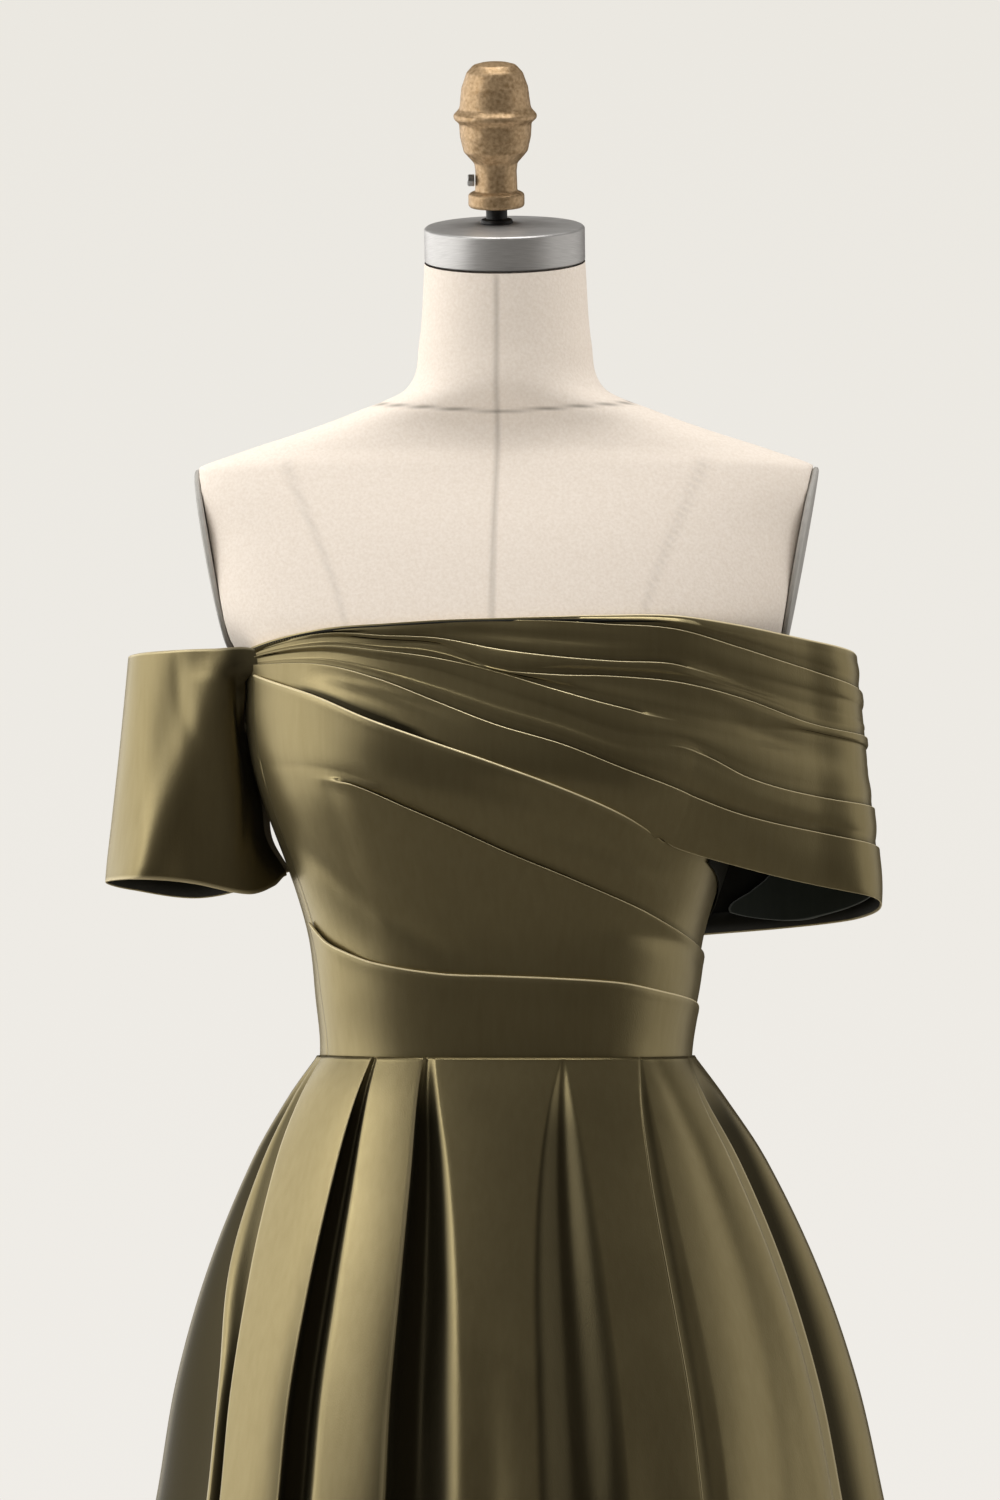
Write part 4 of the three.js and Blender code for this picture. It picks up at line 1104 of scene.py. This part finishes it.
def rounded(points, radius=0.6, steps=3):
    """A profile with each corner cut to a small round."""
    points = [np.array(p, float) for p in points]
    out = [points[0]]
    for before, at, after in zip(points, points[1:], points[2:]):
        near = min(radius, np.linalg.norm(at - before) * 0.45, np.linalg.norm(after - at) * 0.45)
        a = at + (before - at) / max(np.linalg.norm(before - at), 1e-6) * near
        b = at + (after - at) / max(np.linalg.norm(after - at), 1e-6) * near
        for k in range(steps + 1):
            t = k / steps
            out.append((1 - t) ** 2 * a + 2 * t * (1 - t) * at + t**2 * b)
    out.append(points[-1])
    return out


def dense(points, step):
    """The same profile with more points along its straight stretches."""
    out = [points[0]]
    for a, b in zip(points, points[1:]):
        count = max(1, int(np.linalg.norm(np.subtract(b, a)) / step))
        out += [mix(np.array(a, float), np.array(b, float), k / count) for k in range(1, count + 1)]
    return out


CAP = {"radius": 53, "high": 23}
STUB = {"radius": 7, "high": 10}
TOP_X = -5
SEAM = 0.3


def neck_place(height, x=0.0):
    """A place on the tilted neck's axis, from the foot of the cap."""
    angle = math.radians(NECK_TILT)
    back = float(-form_lean(NECK_TOP)) - height * math.sin(angle)
    return x, back, WAIST + NECK_TOP + 2 * SEAM + height * math.cos(angle)


def make_neck_top():
    cap = [(0, 0), (CAP["radius"] - 1, 0), (CAP["radius"], 0.8), (CAP["radius"], CAP["high"] - 1.2),
           (CAP["radius"] - 1.4, CAP["high"]), (CAP["radius"] * 0.5, CAP["high"] + 1.5), (0, CAP["high"] + 2)]
    piece = turned("cap_metal", rounded(cap, 0.7), 128, BRUSHED, neck_place(0), NECK_TILT)
    settle(piece, "neck_cap")
    stub = [(0, 0), (STUB["radius"] + 4, 0), (STUB["radius"] + 3, 2.5), (STUB["radius"], 3),
            (STUB["radius"], STUB["high"]), (0, STUB["high"])]
    high = CAP["high"] + 2 + SEAM
    piece = turned("stub_steel", rounded(stub, 0.5), 48, BLACK, neck_place(high, TOP_X), NECK_TILT)
    settle(piece, "cap_stub")
    finial = [
        (0, 0), (17, 0), (18.5, 1.5), (18.5, 8.5), (17, 10), (14, 11), (13.6, 24), (14.3, 29.5), (21, 37),
        (23.4, 47), (23.7, 55), (24.6, 56.5), (27.4, 59), (27.4, 61.5), (25, 64), (23.5, 66), (22, 79),
        (18.5, 89), (14, 94), (8, 95.6), (0, 96),
    ]
    high += STUB["high"] + SEAM
    shape = dense(rounded(finial, 1.2), 1.1)
    piece = turned("finial_brass", shape, 120, BRASS, neck_place(high, TOP_X), NECK_TILT, 0.07, 3)
    settle(piece, "finial")


make_neck_top()


def make_stand():
    foot = [(0, 0), (200, 0), (200, 10), (192, 16), (44, 22), (30, 30), (26, 46), (0, 46)]
    piece = turned("foot_iron", rounded(foot, 4, 4), 160, IRON)
    settle(piece, "stand_foot")
    low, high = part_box("stand_pole")
    pole = [(0, low.z / MM), (16, low.z / MM), (16, high.z / MM), (0, high.z / MM)]
    piece = turned("pole_iron", dense(rounded(pole, 1), 60), 48, IRON)
    settle(piece, "stand_pole")


make_stand()

for name, look in (("form_plate_left", GREY), ("form_plate_right", GREY), ("finial_bolt", ZINC),
                   ("zip_tape_bodice", SATIN), ("zip_tape_skirt", SATIN), ("zip_slider", ZIP_METAL),
                   ("zip_pull", ZIP_METAL)):
    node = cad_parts[name]
    node.data.materials.clear()
    node.data.materials.append(look)


# Studio: floor, lights and camera
FLOOR_RADIUS = 7.6


def make_floor():
    """A pale floor that fades into the background far out, and that the cloth hardly mirrors."""
    look, tree, shader = nodes_of("pale_floor")
    shader.inputs["Base Color"].default_value = (0.80, 0.775, 0.735, 1)
    shader.inputs["Roughness"].default_value = 0.7
    place = add_node(tree, "ShaderNodeTexCoord")
    length = add_node(tree, "ShaderNodeVectorMath", operation="LENGTH")
    tree.links.new(place.outputs["Object"], length.inputs[0])
    clear = add_node(tree, "ShaderNodeBsdfTransparent")
    ray = add_node(tree, "ShaderNodeLightPath")
    both = add_node(tree, "ShaderNodeMath", operation="MAXIMUM")
    tree.links.new(ramp(tree, length.outputs["Value"], 0.9, 3.0, 0, 1), both.inputs[0])
    tree.links.new(ramp(tree, ray.outputs["Is Glossy Ray"], 0, 1, 0, 0.85), both.inputs[1])
    surface = mix_shaders(tree, both.outputs[0], shader.outputs[0], clear.outputs[0])
    tree.links.new(surface, tree.nodes["Material Output"].inputs["Surface"])
    turn = np.linspace(0, 2 * np.pi, 96, endpoint=False)
    radii = np.linspace(FLOOR_RADIUS, 0.0005, 12)[:, None] / MM
    x, y = radii * np.sin(turn), -radii * np.cos(turn)
    floor = grid_mesh("floor", x, y, 0 * x - WAIST, look, True)


make_floor()

# Softboxes: where each stands as an angle and a distance round the dress, its height, size, power and
# colour, and whether it lights the cloth or shows in its shine
LIGHTS = rows_of(
    "name turn far high wide tall watts colour lights shines",
    ("key", -93, 2.4, 1.65, 2.6, 3.0, 42, (1, 0.99, 0.96), True, False),
    ("fill", 88, 2.6, 1.4, 2.8, 2.6, 20, (1, 0.98, 0.95), True, False),
    ("top", 0, 0.4, 3.8, 2.0, 1.2, 38, (1, 0.99, 0.97), True, True),
    ("left_wall", -100, 2.4, 1.6, 5.3, 2.9, 72, (1, 0.99, 0.97), False, True),
    ("right_wall", 101, 2.6, 1.4, 4.4, 2.6, 20, (1, 0.98, 0.95), False, True),
    ("upper_left", -54, 2.4, 2.45, 1.2, 1.0, 8, (1, 0.99, 0.97), True, True),
)
AIM = Vector((0, 0, 1.25))


def make_lights():
    for row in LIGHTS:
        turn = math.radians(row["turn"])
        light = bpy.data.lights.new(row["name"], "AREA")
        light.shape = "RECTANGLE"
        light.size = row["wide"]
        light.size_y = row["tall"]
        light.energy = row["watts"]
        light.color = row["colour"]
        lamp = bpy.data.objects.new(row["name"], light)
        lamp.visible_camera = False
        lamp.visible_diffuse = row["lights"]
        lamp.visible_glossy = row["shines"]
        lamp.location = (row["far"] * math.sin(turn), -row["far"] * math.cos(turn), row["high"])
        lamp.rotation_euler = (AIM - lamp.location).to_track_quat("-Z", "Y").to_euler()
        bpy.context.scene.collection.objects.link(lamp)


make_lights()


def make_world():
    """Pale background, and a dimmer room that the satin reflects."""
    world = bpy.data.worlds.new("studio")
    bpy.context.scene.world = world
    world.use_nodes = True
    tree = world.node_tree
    seen = tree.nodes["Background"]
    way = add_node(tree, "ShaderNodeTexCoord")
    parts = add_node(tree, "ShaderNodeSeparateXYZ")
    tree.links.new(way.outputs["Generated"], parts.inputs[0])
    height = ramp(tree, parts.outputs["Z"], -0.14, 0.18, 0, 1)
    colour = blend_colours(tree, height, (0.88, 0.855, 0.815), (0.823, 0.799, 0.745))
    tree.links.new(colour, seen.inputs["Color"])
    room = add_node(tree, "ShaderNodeBackground", Color=(0.80, 0.78, 0.75, 1), Strength=0.6)
    dark = add_node(tree, "ShaderNodeBackground", Color=(1, 0.78, 0.55, 1), Strength=0.026)
    ray = add_node(tree, "ShaderNodeLightPath")
    lit = mix_shaders(tree, ray.outputs["Is Glossy Ray"], room.outputs[0], dark.outputs[0])
    surface = mix_shaders(tree, ray.outputs["Is Camera Ray"], lit, seen.outputs[0])
    tree.links.new(surface, tree.nodes["World Output"].inputs["Surface"])


make_world()

CAMERA = {"turn": 3.5, "far": 4.5, "high": 1.113, "aim": (-0.004, 0, 1.252), "frame": 0.99}


def make_camera():
    data = bpy.data.cameras.new("camera")
    data.sensor_width = 36
    data.lens = data.sensor_width * CAMERA["far"] / CAMERA["frame"]
    data.clip_start, data.clip_end = 0.1, 60
    camera = bpy.data.objects.new("camera", data)
    aim = Vector(CAMERA["aim"])
    turn = math.radians(CAMERA["turn"])
    aside, ahead = CAMERA["far"] * math.sin(turn), CAMERA["far"] * math.cos(turn)
    camera.location = (aim.x + aside, -ahead, CAMERA["high"])
    camera.rotation_euler = (aim - camera.location).to_track_quat("-Z", "Y").to_euler()
    bpy.context.scene.collection.objects.link(camera)
    bpy.context.scene.camera = camera


make_camera()
bpy.context.scene.view_settings.view_transform = "Standard"
bpy.context.scene.view_settings.look = "None"

bpy.context.view_layer.update()
